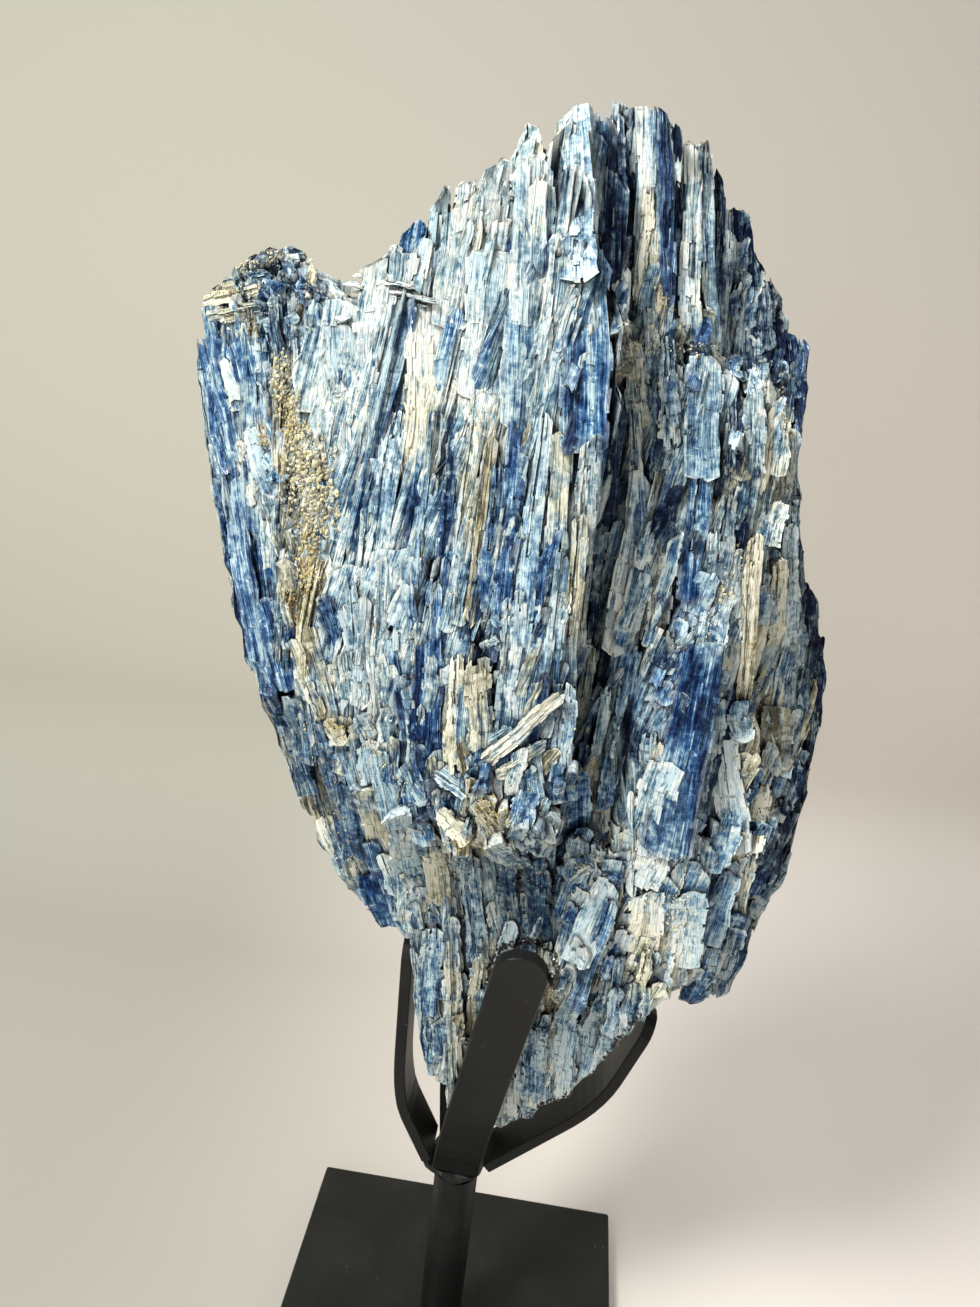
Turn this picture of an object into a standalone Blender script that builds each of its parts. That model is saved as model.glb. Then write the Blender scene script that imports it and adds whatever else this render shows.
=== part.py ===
"""A kyanite specimen on a black steel stand with four bent prongs.

Metres, +Z up. The origin is at the centre of the base plate's underside, and the front faces -Y.
"""
import math
import random

import bmesh
import bpy
from mathutils import Matrix, Vector

MM = 0.001
GAP = 0.3 * MM
STONE_GAP = 0.45 * MM

# Stand
PLATE_SIZE = 100 * MM
PLATE_THICKNESS = 6 * MM
PLATE_EDGE = 0.8 * MM
POST_X = -2 * MM
POST_RADIUS = 6.1 * MM
POST_TOP = 66 * MM
POST_SIDES = 48
WELD_RADIUS = 8.8 * MM
WELD_HEIGHT = 5.8 * MM
WELD_LUMP = 0.9 * MM
WELD_LUMPS_ROUND = 5
WELD_LEFT_BULGE = 1.6
BAR_WIDTH = 12.6 * MM
BAR_THICKNESS = 3 * MM
BAR_EDGE = 0.5 * MM
BAR_ROWS = 22
BAR_COLUMNS = 4
BEND_SHARE = 0.3
BEND_STARTS = 0.25
BEND_ENDS = 0.55
ROUND_ROWS = 5
ROUND_ANGLE = 82

# Kyanite, in mm: how far a blade's laths step back and twist, and how ragged and sloped their ends are
LATH_STEP = 2.2
LATH_TWIST = 1.6
LATH_RAGGED = 4.5
LATH_TILT = 4.0
END_SLOPE = 2.4
LATH_SPREAD = 1.12
BLADE_TAPER = 0.92
BLADE_SEED = 11
WELD_DISTANCE = 0.01 * MM

# Each blade, in mm: its outer face's foot (x, z) and head (x, z), the face's y at the foot and at
# the head, its width, its depth, the turn of the face in degrees (0 faces the front, positive to
# the left) and the laths that it splits into. Its head slopes down towards one side: the last value.
LEFT_BLOCK = (
    ((-62, 203), (-78, 281), (-3, -4), 14, 22, 48, 3, -5),
    ((-55, 208), (-71, 292), (-15, -14), 12, 24, 30, 2, -4),
    ((-48, 207), (-61, 299), (-24, -19), 13, 28, 12, 3, -3),
    ((-38, 206), (-51, 297), (-28, -23), 13, 30, -2, 3, 4),
    ((-44, 214), (-56, 300), (-12, -12), 12, 24, 0, 2, 3),
)
CENTRE_PLATES = (
    ((-44, 204), (-36, 299), (-31, -25), 14, 26, 6, 3, -6),
    ((-37, 198), (-28, 305), (-33, -26), 12, 28, 2, 3, -5),
    ((-29, 194), (-21, 313), (-33, -24), 12, 26, 7, 3, -5),
    ((-22, 190), (-13, 318), (-35, -25), 12, 28, 0, 3, -5),
    ((-14, 186), (-7, 325), (-36, -24), 11, 26, -3, 3, -4),
    ((-7, 184), (-1, 328), (-35, -21), 11, 26, 5, 2, -3),
    ((-1, 186), (-3, 318), (-39, -31), 12, 20, 2, 3, -3),
    ((9, 190), (4, 303), (-41, -35), 14, 22, -4, 3, 6),
    ((17, 200), (9, 286), (-38, -36), 9, 20, -9, 2, 6),
    ((5, 255), (0, 330), (-23, -18), 12, 22, -4, 3, -2),
)
RIGHT_RIDGES = (
    ((11, 246), (4, 333), (-12, -9), 9, 22, 0, 2, -2),
    ((17, 242), (9, 333), (-15, -12), 8, 24, 12, 2, 2),
    ((23, 246), (13, 333), (-20, -14), 7, 26, 0, 1, 2),
    ((28, 256), (20, 329), (-16, -12), 8, 24, -10, 3, 3),
    ((34, 256), (27, 321), (-11, -8), 7, 22, -18, 2, 3),
    ((38, 252), (33, 314), (-5, -3), 9, 20, -34, 2, 4),
    ((44, 250), (39, 306), (-3, -1), 10, 20, -42, 3, 4),
    ((50, 246), (44, 297), (-4, -2), 10, 20, -36, 3, 3),
    ((55, 238), (49, 291), (-4, -3), 9, 18, -48, 2, 2),
)
RIGHT_BLADES = (
    ((13, 192), (17, 283), (-20, -18), 9, 26, 4, 3, 2),
    ((24, 184), (24, 289), (-22, -19), 10, 28, 8, 3, -2),
    ((34, 186), (31, 288), (-25, -22), 10, 28, -5, 3, 2),
    ((44, 226), (40, 284), (-24, -21), 10, 26, -10, 3, 2),
    ((50, 244), (45, 279), (-18, -16), 8, 22, -14, 2, 3),
    ((49, 188), (45, 262), (-22, -19), 13, 28, -14, 3, 3),
    ((61, 190), (51, 262), (-13, -10), 12, 26, -32, 3, 3),
    ((70, 172), (61, 246), (-1, 0), 14, 24, -46, 3, 4),
    ((34, 178), (40, 236), (-31, -29), 12, 18, -5, 3, 3),
    ((45, 182), (50, 224), (-27, -25), 11, 20, -14, 3, 3),
    ((14, 186), (19, 234), (-30, -29), 6, 20, 8, 2, -3),
    ((25, 182), (29, 226), (-25, -24), 5, 16, -8, 1, 3),
)
LOWER_BLADES = (
    ((-40, 166), (-58, 212), (-6, -6), 14, 22, 44, 3, -3),
    ((-31, 162), (-49, 210), (-16, -15), 13, 24, 24, 3, -3),
    ((-21, 158), (-38, 208), (-22, -21), 13, 24, 10, 3, 3),
    ((-14, 154), (-27, 206), (-24, -26), 12, 24, -2, 2, 3),
    ((-7, 105), (-19, 196), (-14, -27), 11, 24, 12, 3, 2),
    ((0, 92), (-8, 194), (-10, -27), 11, 20, 4, 3, 1),
    ((8, 92), (3, 192), (-11, -26), 11, 20, -3, 3, 1),
    ((18, 103), (13, 192), (-14, -25), 12, 20, -6, 3, 2),
    ((25, 116), (24, 186), (-15, -24), 12, 20, -12, 3, 2),
    ((20, 150), (24, 190), (-31, -31), 11, 20, 6, 3, 2),
    ((28, 143), (34, 192), (-29, -31), 11, 22, 0, 3, 2),
    ((36, 151), (43, 194), (-30, -30), 11, 22, -6, 3, 2),
    ((47, 149), (53, 196), (-24, -26), 11, 24, -16, 3, 2),
    ((57, 146), (62, 196), (-12, -14), 14, 26, -36, 3, 2),
    ((64, 166), (69, 200), (0, -2), 10, 20, -50, 2, 2),
)
BACK_BLADES = (
    ((-54, 198), (-67, 274), (13, 10), 18, 24, 158, 3, 4),
    ((-40, 186), (-50, 281), (21, 15), 17, 26, 171, 3, -4),
    ((-26, 170), (-34, 286), (26, 16), 16, 28, 178, 3, 5),
    ((-12, 150), (-18, 296), (29, 15), 15, 28, 186, 3, 4),
    ((3, 128), (-6, 302), (28, 12), 16, 28, 178, 3, -4),
    ((17, 134), (7, 309), (30, 12), 15, 26, 184, 3, 4),
    ((31, 148), (20, 302), (26, 12), 15, 26, 176, 3, 5),
    ((44, 160), (32, 284), (25, 12), 15, 26, 196, 3, 4),
    ((57, 172), (45, 268), (18, 10), 15, 24, 213, 3, 5),
    ((66, 178), (58, 244), (12, 8), 12, 22, 236, 2, 3),
    ((0, 98), (-8, 190), (13, 25), 13, 22, 170, 3, 3),
    ((11, 98), (6, 182), (13, 25), 13, 22, 184, 3, 3),
    ((25, 118), (24, 190), (14, 23), 15, 22, 198, 3, 3),
    ((-30, 170), (-42, 230), (18, 20), 18, 22, 156, 3, 3),
    ((-18, 150), (-28, 214), (18, 24), 16, 22, 168, 2, 3),
    ((42, 150), (46, 206), (14, 22), 16, 22, 200, 3, 3),
)
CORE_BLOCKS = (
    ((-50, 210), (-59, 282), (-10, -10), 18, 20, 0, 1, 0),
    ((-32, 192), (-40, 284), (-18, -19), 24, 32, 0, 1, 0),
    ((-8, 162), (-16, 300), (-18, -20), 26, 32, 0, 1, 0),
    ((10, 130), (1, 310), (-14, -14), 26, 27, 0, 1, 0),
    ((28, 142), (16, 308), (-10, -10), 24, 22, 0, 1, 0),
    ((44, 160), (34, 282), (-8, -6), 24, 18, 0, 1, 0),
    ((57, 178), (47, 264), (-4, -2), 18, 12, 0, 1, 0),
    ((4, 104), (0, 190), (-4, -12), 20, 18, 0, 1, 0),
    ((20, 116), (18, 190), (-4, -12), 22, 18, 0, 1, 0),
)

# Prongs, in mm: the corners of each bar's centre line, and the direction across its flat
FRONT_PRONG = ((-2, -6.4, 72.6), (-1.4, -12, 84), (9.5, -32, 161))
BACK_PRONG = ((-2, 6.4, 72.6), (-4, 12, 86), (-9, 31, 138))
LEFT_PRONG = ((-10.2, 0, 72.8), (-20, 0, 92), (-20.8, 0, 141))
RIGHT_PRONG = ((6.2, 0, 73.4), (34, 0, 100), (44, 0, 128))


def clear_scene():
    for thing in list(bpy.data.objects):
        bpy.data.objects.remove(thing, do_unlink=True)


def collection(name, hidden=False):
    made = bpy.data.collections.new(name)
    bpy.context.scene.collection.children.link(made)
    made.hide_render = hidden
    return made


def material(name, colour, roughness, metallic=0.0):
    made = bpy.data.materials.new(name)
    made.use_nodes = True
    shader = made.node_tree.nodes["Principled BSDF"]
    shader.inputs["Base Color"].default_value = (*colour, 1.0)
    shader.inputs["Roughness"].default_value = roughness
    shader.inputs["Metallic"].default_value = metallic
    return made


def place(name, mesh_maker, into, finish=None):
    """An object made from a bmesh and linked to a collection."""
    mesh = bpy.data.meshes.new(name)
    work = bmesh.new()
    mesh_maker(work)
    work.to_mesh(mesh)
    work.free()
    thing = bpy.data.objects.new(name, mesh)
    into.objects.link(thing)
    if finish:
        mesh.materials.append(finish)
    return thing


def helper(name, mesh_maker, into):
    thing = place(name, mesh_maker, into)
    thing.hide_render = True
    thing.display_type = "WIRE"
    return thing


def bevel(thing, width, segments=2):
    made = thing.modifiers.new("Edges", "BEVEL")
    made.width = width
    made.segments = segments
    made.limit_method = "ANGLE"
    made.angle_limit = math.radians(40)


def boolean(thing, name, operation, other=None, group=None):
    made = thing.modifiers.new(name, "BOOLEAN")
    made.operation = operation
    made.solver = "EXACT"
    if group:
        made.operand_type = "COLLECTION"
        made.collection = group
    else:
        made.object = other
    return made


# Stand
def make_plate(into, finish):
    def shape(work):
        centre = Matrix.Translation((0, 0, PLATE_THICKNESS / 2))
        size = Matrix.Diagonal((PLATE_SIZE, PLATE_SIZE, PLATE_THICKNESS, 1))
        bmesh.ops.create_cube(work, size=1, matrix=centre @ size)

    plate = place("base_plate", shape, into, finish)
    bevel(plate, PLATE_EDGE)
    return plate


def make_post(into, finish):
    length = POST_TOP - PLATE_THICKNESS - GAP

    def shape(work):
        centre = Matrix.Translation((POST_X, 0, POST_TOP - length / 2))
        bmesh.ops.create_cone(
            work, cap_ends=True, segments=POST_SIDES, radius1=POST_RADIUS,
            radius2=POST_RADIUS, depth=length, matrix=centre,
        )

    post = place("post", shape, into, finish)
    post.data.shade_smooth()
    post.data.set_sharp_from_angle(angle=math.radians(40))
    return post


def make_weld(into, finish):
    """A low lumpy bead on top of the post, fuller on the left where the bars meet it."""

    def shape(work):
        bmesh.ops.create_uvsphere(work, u_segments=28, v_segments=12, radius=1)
        floor = POST_TOP + GAP
        for point in work.verts:
            around = math.atan2(point.co.y, point.co.x)
            lump = math.sin(around * WELD_LUMPS_ROUND) * math.cos(point.co.z * 4 + around)
            left = max(0.0, -math.cos(around))
            reach = WELD_RADIUS + WELD_LUMP * (lump + WELD_LEFT_BULGE * left - 1)
            point.co.x = POST_X + point.co.x * reach
            point.co.y *= reach
            point.co.z = floor + (point.co.z + 1) * WELD_HEIGHT / 2

    weld = place("weld", shape, into, finish)
    weld.data.shade_smooth()
    return weld


def bent_line(corners):
    """Points along a line that turns smoothly at its middle corner."""
    start, corner, end = (Vector(point) * MM for point in corners)
    before = corner.lerp(start, BEND_SHARE)
    after = corner.lerp(end, BEND_SHARE)
    points = []
    for row in range(BAR_ROWS + 1):
        share = row / BAR_ROWS
        if share < BEND_STARTS:
            points.append(start.lerp(before, share / BEND_STARTS))
        elif share < BEND_ENDS:
            turn = (share - BEND_STARTS) / (BEND_ENDS - BEND_STARTS)
            points.append(before.lerp(corner, turn).lerp(corner.lerp(after, turn), turn))
        else:
            points.append(after.lerp(end, (share - BEND_ENDS) / (1 - BEND_ENDS)))
    return points


def bar_surface(work, corners, facing, extra):
    """The bar's middle surface: a grid laid along the bent line, with a rounded far end."""
    line = bent_line(corners)
    travelled = [0.0]
    for a, b in zip(line, line[1:]):
        travelled.append(travelled[-1] + (b - a).length)
    bmesh.ops.create_grid(work, x_segments=BAR_COLUMNS, y_segments=BAR_ROWS, size=0.5)
    half_width = BAR_WIDTH / 2 + extra
    straight_end = travelled[-1] - BAR_WIDTH / 2
    straight_rows = BAR_ROWS - ROUND_ROWS
    for point in work.verts:
        row = round((point.co.y + 0.5) * BAR_ROWS)
        side = point.co.x * 2
        if row <= straight_rows:
            along = (straight_end + extra) * row / straight_rows - extra
            spread = half_width
        else:
            angle = math.radians(ROUND_ANGLE) * (row - straight_rows) / ROUND_ROWS
            along = straight_end + half_width * math.sin(angle)
            spread = half_width * math.cos(angle)
        before = max([0] + [i for i, gone in enumerate(travelled[:-1]) if gone <= along])
        share = (along - travelled[before]) / (travelled[before + 1] - travelled[before])
        spot = line[before].lerp(line[before + 1], share)
        forward = (line[before + 1] - line[before]).normalized()
        across = forward.cross(facing).normalized()
        point.co = spot + across * side * spread


def make_bar(name, corners, facing, into, finish=None, extra=0.0):
    """A flat bent bar. A positive extra makes it that much larger all round."""

    def shape(work):
        bar_surface(work, corners, Vector(facing), extra)

    bar = place(name, shape, into, finish) if finish else helper(name, shape, into)
    wall = bar.modifiers.new("Thickness", "SOLIDIFY")
    wall.thickness = BAR_THICKNESS + 2 * extra
    wall.offset = 0
    wall.use_even_offset = True
    if finish:
        bevel(bar, BAR_EDGE, 1)
    return bar


# Kyanite
def blade_axes(foot, head, turn):
    """The blade's long axis, the axis across it and the outward normal of its face."""
    along = (head - foot).normalized()
    across = Vector((1, 0, 0))
    across = (across - along * across.dot(along)).normalized()
    across = Matrix.Rotation(-math.radians(turn), 3, along) @ across
    return along, across, across.cross(along).normalized()


def make_blade(name, blade, into, chance, ragged=True):
    """The laths of one blade: boxes side by side, with sloping, uneven ends."""
    foot, head, faces, width, depth, turn, laths, slope = blade
    foot = Vector((foot[0], faces[0], foot[1]))
    head = Vector((head[0], faces[1], head[1]))
    along, across, normal = blade_axes(foot, head, turn)
    length = (head - foot).length
    for lath in range(laths):
        middle = (lath + 0.5) / laths - 0.5
        step = chance.uniform(-LATH_STEP, 0) if ragged and laths > 1 else 0.0
        top = chance.uniform(-0.5, 0.5) * LATH_RAGGED if ragged else 0.0
        bottom = chance.uniform(0, LATH_RAGGED) if ragged else 0.0
        tilt = chance.uniform(-LATH_TILT, LATH_TILT) if ragged else 0.0
        twist = chance.uniform(-LATH_TWIST, LATH_TWIST) if ragged else 0.0
        lath_width = width / laths * LATH_SPREAD

        def shape(work):
            bmesh.ops.create_cube(work, size=1)
            for point in work.verts:
                side, out, end = point.co
                narrow = BLADE_TAPER if end > 0 else 1.0
                offset = (middle * width + side * lath_width) * narrow
                fall = slope * (middle + side / laths) + tilt * side
                reach = length + top - fall if end > 0 else bottom
                reach -= (0.5 - out) * END_SLOPE * (1 if end > 0 else -1)
                lift = step + twist * side - (0.5 - out) * depth
                point.co = (foot + across * offset + along * reach + normal * lift) * MM
            bmesh.ops.recalc_face_normals(work, faces=work.faces)

        helper(f"{name}_{lath}", shape, into)


def keep_outer_skin(work):
    """Deletes the skins of pockets sealed between the crystals, so that the stone is solid there."""
    left = set(work.verts)
    shells = []
    while left:
        shell = {left.pop()}
        edge = list(shell)
        while edge:
            for link in edge.pop().link_edges:
                for point in link.verts:
                    if point in left:
                        left.discard(point)
                        shell.add(point)
                        edge.append(point)
        shells.append(shell)
    heights = [[point.co.z for point in shell] for shell in shells]
    tallest = max(range(len(shells)), key=lambda number: max(heights[number]) - min(heights[number]))
    for number, shell in enumerate(shells):
        if number != tallest:
            bmesh.ops.delete(work, geom=list(shell), context="VERTS")


def make_kyanite(into, crystals, finish, clearances):
    """All the crystals fused in one solid, with room left for the stand."""
    chance = random.Random(BLADE_SEED)
    groups = (
        ("left", LEFT_BLOCK), ("plate", CENTRE_PLATES), ("ridge", RIGHT_RIDGES),
        ("right", RIGHT_BLADES), ("lower", LOWER_BLADES), ("back", BACK_BLADES),
    )
    for group, blades in groups:
        for number, blade in enumerate(blades):
            make_blade(f"{group}_{number}", blade, crystals, chance)
    for number, block in enumerate(CORE_BLOCKS):
        make_blade(f"core_{number}", block, crystals, chance, ragged=False)
    seed = bpy.data.objects["core_2_0"]
    crystals.objects.unlink(seed)
    into.objects.link(seed)
    boolean(seed, "Crystals", "UNION", group=crystals)
    for room in clearances:
        boolean(seed, "Room for " + room.name, "DIFFERENCE", other=room)
    graph = bpy.context.evaluated_depsgraph_get()
    fused = bpy.data.meshes.new_from_object(seed.evaluated_get(graph))
    for thing in [seed, *crystals.objects]:
        bpy.data.objects.remove(thing, do_unlink=True)

    work = bmesh.new()
    work.from_mesh(fused)
    bmesh.ops.remove_doubles(work, verts=work.verts, dist=WELD_DISTANCE)
    bmesh.ops.dissolve_degenerate(work, edges=work.edges, dist=WELD_DISTANCE)
    keep_outer_skin(work)
    work.to_mesh(fused)
    work.free()
    fused.materials.clear()
    fused.materials.append(finish)
    kyanite = bpy.data.objects.new("kyanite", fused)
    into.objects.link(kyanite)
    return kyanite


def main():
    clear_scene()
    parts = collection("kyanite_on_stand")
    crystals = collection("crystals", hidden=True)
    rooms = collection("rooms", hidden=True)
    steel = material("black_painted_steel", (0.012, 0.013, 0.012), 0.42, 0.0)
    weld_steel = material("black_painted_weld", (0.010, 0.010, 0.010), 0.55, 0.0)
    stone = material("kyanite_stone", (0.36, 0.45, 0.55), 0.45)

    make_plate(parts, steel)
    make_post(parts, steel)
    make_weld(parts, weld_steel)
    bars = (
        ("front_prong", FRONT_PRONG, (0, -1, 0)),
        ("back_prong", BACK_PRONG, (0, 1, 0)),
        ("left_prong", LEFT_PRONG, (-1, 0, 0)),
        ("right_prong", RIGHT_PRONG, (1, 0, 0)),
    )
    clearances = []
    for name, corners, facing in bars:
        make_bar(name, corners, facing, parts, steel)
        clearances.append(make_bar(name + "_room", corners, facing, rooms, extra=STONE_GAP))
    make_kyanite(parts, crystals, stone, clearances)


main()
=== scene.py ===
import math
import random

import bpy
import numpy as np
from mathutils import Matrix, Vector
from mathutils.bvhtree import BVHTree


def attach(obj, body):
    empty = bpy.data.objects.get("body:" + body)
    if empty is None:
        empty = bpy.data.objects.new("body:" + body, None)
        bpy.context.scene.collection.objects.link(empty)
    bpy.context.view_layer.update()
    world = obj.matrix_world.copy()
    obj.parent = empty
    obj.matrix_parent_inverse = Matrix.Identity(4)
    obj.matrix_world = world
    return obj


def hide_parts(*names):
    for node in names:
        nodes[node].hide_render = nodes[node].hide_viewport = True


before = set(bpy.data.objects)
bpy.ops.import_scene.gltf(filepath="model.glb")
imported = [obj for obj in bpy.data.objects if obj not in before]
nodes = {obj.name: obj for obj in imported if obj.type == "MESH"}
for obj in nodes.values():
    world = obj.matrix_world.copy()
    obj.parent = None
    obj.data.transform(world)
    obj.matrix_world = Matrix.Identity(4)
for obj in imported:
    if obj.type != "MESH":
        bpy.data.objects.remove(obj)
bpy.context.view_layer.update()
mm = 0.001
print("frame loaded")


# Shader expressions
class Wire:
    def __init__(self, sheet, socket):
        self.sheet = sheet
        self.socket = socket

    def do(self, operation, *others, clamp=False):
        return self.sheet.put("ShaderNodeMath", {"operation": operation, "use_clamp": clamp}, [self, *others])

    def __add__(self, other):
        return self.do("ADD", other)

    def __sub__(self, other):
        return self.do("SUBTRACT", other)

    def __mul__(self, other):
        return self.do("MULTIPLY", other)

    def clamped(self):
        return self.do("ADD", 0.0, clamp=True)

    def between(self, low, high):
        settings = {"interpolation_type": "SMOOTHSTEP"}
        return self.sheet.put("ShaderNodeMapRange", settings, [self, low, high, 0.0, 1.0])


class Sheet:
    def __init__(self, name):
        self.material = bpy.data.materials.new(name)
        self.material.use_nodes = True
        self.tree = self.material.node_tree
        self.shader = self.tree.nodes["Principled BSDF"]

    def put(self, kind, settings=None, values=(), output=0):
        node = self.tree.nodes.new(kind)
        for key, value in (settings or {}).items():
            setattr(node, key, value)
        pairs = values.items() if isinstance(values, dict) else enumerate(values)
        for key, value in pairs:
            self.feed(node.inputs[key], value)
        return Wire(self, node.outputs[output])

    def feed(self, socket, value):
        if isinstance(value, Wire):
            self.tree.links.new(value.socket, socket)
        elif value is not None:
            if isinstance(value, (tuple, list)) and len(value) == 3 and socket.type == "RGBA":
                value = (*value, 1.0)
            socket.default_value = value

    def mix(self, share, first, second):
        return self.put("ShaderNodeMix", {"data_type": "RGBA"}, {0: share, 6: first, 7: second}, 2)

    def vector(self, x, y, z):
        return self.put("ShaderNodeCombineXYZ", None, [x, y, z])

    def parts(self, value, kind="XYZ"):
        node = self.put("ShaderNodeSeparate" + kind, None, [value]).socket.node
        return [Wire(self, socket) for socket in node.outputs]

    def noise(self, vector, scale, detail=3.0, rough=0.5, bend=0.0):
        values = {"Vector": vector, "Scale": scale, "Detail": detail, "Roughness": rough, "Distortion": bend}
        return self.put("ShaderNodeTexNoise", None, values)

    def cells(self, vector, scale, output=0):
        return self.put("ShaderNodeTexVoronoi", None, {"Vector": vector, "Scale": scale}, output)

    def ramp(self, share, steps):
        made = self.put("ShaderNodeValToRGB", None, [share])
        stops = made.socket.node.color_ramp.elements
        for number, (at, colour) in enumerate(steps):
            stop = stops[number] if number < 2 else stops.new(at)
            stop.position = at
            stop.color = (*colour, 1)
        return made

    def bump(self, height, strength, distance, below=None):
        values = {"Strength": strength, "Distance": distance, "Height": height}
        if below:
            values["Normal"] = below
        return self.put("ShaderNodeBump", None, values)

    def attribute(self, name, output=0):
        return self.put("ShaderNodeAttribute", {"attribute_name": name}, (), output)

    def place(self):
        return self.put("ShaderNodeTexCoord", None, (), 3)

    def set(self, **values):
        for key, value in values.items():
            self.feed(self.shader.inputs[key.replace("_", " ")], value)
        return self.material


# Stone finish: each crystal's own map runs across it and along it, in millimetres
kyaniteFinish = {
    "steps": ((0.0, (0.004, 0.011, 0.032)), (0.20, (0.022, 0.052, 0.108)), (0.38, (0.085, 0.165, 0.270)),
              (0.54, (0.220, 0.370, 0.445)), (0.70, (0.500, 0.655, 0.690)), (0.88, (0.950, 0.975, 0.940))),
    "blueSteps": ((0.0, (0.0004, 0.003, 0.026)), (0.28, (0.0012, 0.016, 0.105)), (0.50, (0.008, 0.085, 0.275)),
                  (0.68, (0.060, 0.225, 0.430)), (0.92, (0.550, 0.760, 0.830))),
    "darkSteps": ((0.0, (0.001, 0.002, 0.010)), (0.40, (0.002, 0.007, 0.040)), (0.60, (0.006, 0.024, 0.078)),
                  (0.78, (0.055, 0.115, 0.175)), (0.95, (0.370, 0.450, 0.480))),
    "tanSteps": ((0.0, (0.020, 0.016, 0.006)), (0.25, (0.120, 0.100, 0.045)), (0.45, (0.320, 0.285, 0.150)),
                 (0.65, (0.600, 0.560, 0.350)), (0.90, (0.940, 0.910, 0.720))),
    # the near-black on this line is painted shade for the hollows between crystals
    "ochre": (0.46, 0.30, 0.07), "hollowShade": (0.002, 0.006, 0.016), "pearl": (0.93, 0.94, 0.88),
    "cream": (0.80, 0.74, 0.50),
}


def makeKyanite(name, values):
    sheet = Sheet(name)
    across, along = sheet.parts(sheet.put("ShaderNodeUVMap", {"uv_map": "lay"}))[:2]
    strand = sheet.attribute("strand", 2)
    blue, pale, tan = sheet.parts(sheet.attribute("paint"), "Color")
    darkAndShade = sheet.attribute("darkAndShade", 2)
    rim = sheet.attribute("rim", 2)
    place = sheet.place()

    broad = sheet.noise(sheet.vector(across * 0.30, along * 0.022, strand * 37), 1.0, 2.0, 0.5, 0.4) - 0.5
    streak = sheet.noise(sheet.vector(across * 1.3, along * 0.05, strand * 53), 1.0, 3.0, 0.6, 0.3) - 0.5
    fine = sheet.noise(sheet.vector(across * 5.5, along * 0.16, strand * 71), 1.0, 3.0, 0.65) - 0.5
    patch = sheet.noise(place, 48.0, 5.0, 0.65, 0.6) - 0.5
    crumb = sheet.noise(place, 230.0, 4.0, 0.7, 0.5) - 0.5
    speck = sheet.noise(place, 700.0, 3.0, 0.65) - 0.5
    rungs = sheet.noise(sheet.vector(across * 0.12, along * 0.9, strand * 19), 1.0, 3.0, 0.6, 0.15) - 0.5
    rungPlaces = sheet.noise(place, 60.0, 2.0, 0.5)

    warped = sheet.vector(across * 1.0 + crumb * 1.2, along * 0.26 + patch * 2.0, strand * 41)
    flake = sheet.cells(warped, 1.0)
    flakeTone = sheet.parts(sheet.cells(warped, 1.0, 1), "Color")[0] - 0.5
    tone = broad * 1.0 + streak * 1.3 + fine * 1.5 + patch * 0.7 + crumb * 0.45 + speck * 0.8 + flakeTone * 0.14
    line = (rungs.do("ABSOLUTE") * -1 + 0.012).between(0.0, 0.012) * rungPlaces.between(0.52, 0.62)
    split = (rungs * 0.5 + fine * 0.6 + crumb * 0.6).between(0.22, 0.34)
    # convex edges are lightened by their pointiness: partly wear on the crystal edges, partly a painted highlight
    # where the edges catch the light
    worn = sheet.put("ShaderNodeNewGeometry", None, (), 7)
    worn = (worn + crumb * 0.12 + speck * 0.08).between(0.53, 0.62)
    # the pale channel lightens the tone: partly pale crystal, partly painted sheen where plates face the light
    tone = tone * 1.12 + pale * 0.34 + tan * 0.06 + (strand - 0.5) * 0.32 + 0.52
    tone = tone + line * 0.14 + split * 0.16 + worn * 0.20
    # the dark channel lowers the tone: partly dark crystal, partly painted shade in crevices and on the shaded side
    colour = sheet.ramp(tone - darkAndShade * 0.14, values["steps"])
    hue = sheet.noise(place, 45.0, 3.0, 0.55, 0.6) - 0.5 + ((strand * 7.31).do("FRACT") - 0.5) * 0.30
    blueHere = (blue * 0.48 + hue * 0.8 + broad * 0.7 + streak * 1.1 + fine * 0.8).between(-0.02, 0.30)
    colour = sheet.mix(blueHere * 0.90, colour, sheet.ramp(tone - blue * 0.18, values["blueSteps"]))
    tanHere = (tan * 0.60 - hue * 1.0 + crumb * 0.6 + streak * 0.5 + fine * 0.6 - blue * 0.3).between(0.06, 0.44)
    colour = sheet.mix(tanHere * 0.9, colour, sheet.ramp(tone, values["tanSteps"]))
    ochreHere = (tan * 0.5 + crumb * 1.5 + patch * 0.7).between(0.66, 0.92)
    colour = sheet.mix(ochreHere * 0.8, colour, values["ochre"])
    # deep navy where the dark channel lies: partly dark crystal, partly painted shade
    darkAndShadeHere = (darkAndShade * 0.78 + streak * 0.7 + fine * 0.4).between(0.25, 0.60)
    colour = sheet.mix(darkAndShadeHere * 0.94, colour, sheet.ramp(tone, values["darkSteps"]))

    edge = (rim * -0.55 + crumb * 1.3 + fine * 0.6 + 0.26).between(0.0, 0.34) * patch.between(-0.16, 0.12)
    edgeTone = sheet.mix((hue * -1.5 + 0.25).clamped(), values["pearl"], values["cream"])
    colour = sheet.mix(edge * (darkAndShade * -0.5 - blue * 0.3 + 0.45).clamped(), colour, edgeTone)
    # painted highlight: small pearl-white glints mixed into the colour
    paintedGlint = (speck * 1.3 + crumb * 0.7 + fine * 0.3 + pale * 0.06 - darkAndShade * 0.08).between(0.25, 0.36)
    colour = sheet.mix(paintedGlint * 0.75, colour, values["pearl"])

    # painted shade: ambient occlusion darkens the colour almost to black in the hollows and creases between crystals
    hollow = sheet.put("ShaderNodeAmbientOcclusion", {"samples": 4}, {"Distance": 3.2 * mm}, 1)
    colour = sheet.mix(hollow.between(0.28, 0.84), sheet.mix(0.88, colour, values["hollowShade"]), colour)

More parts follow.
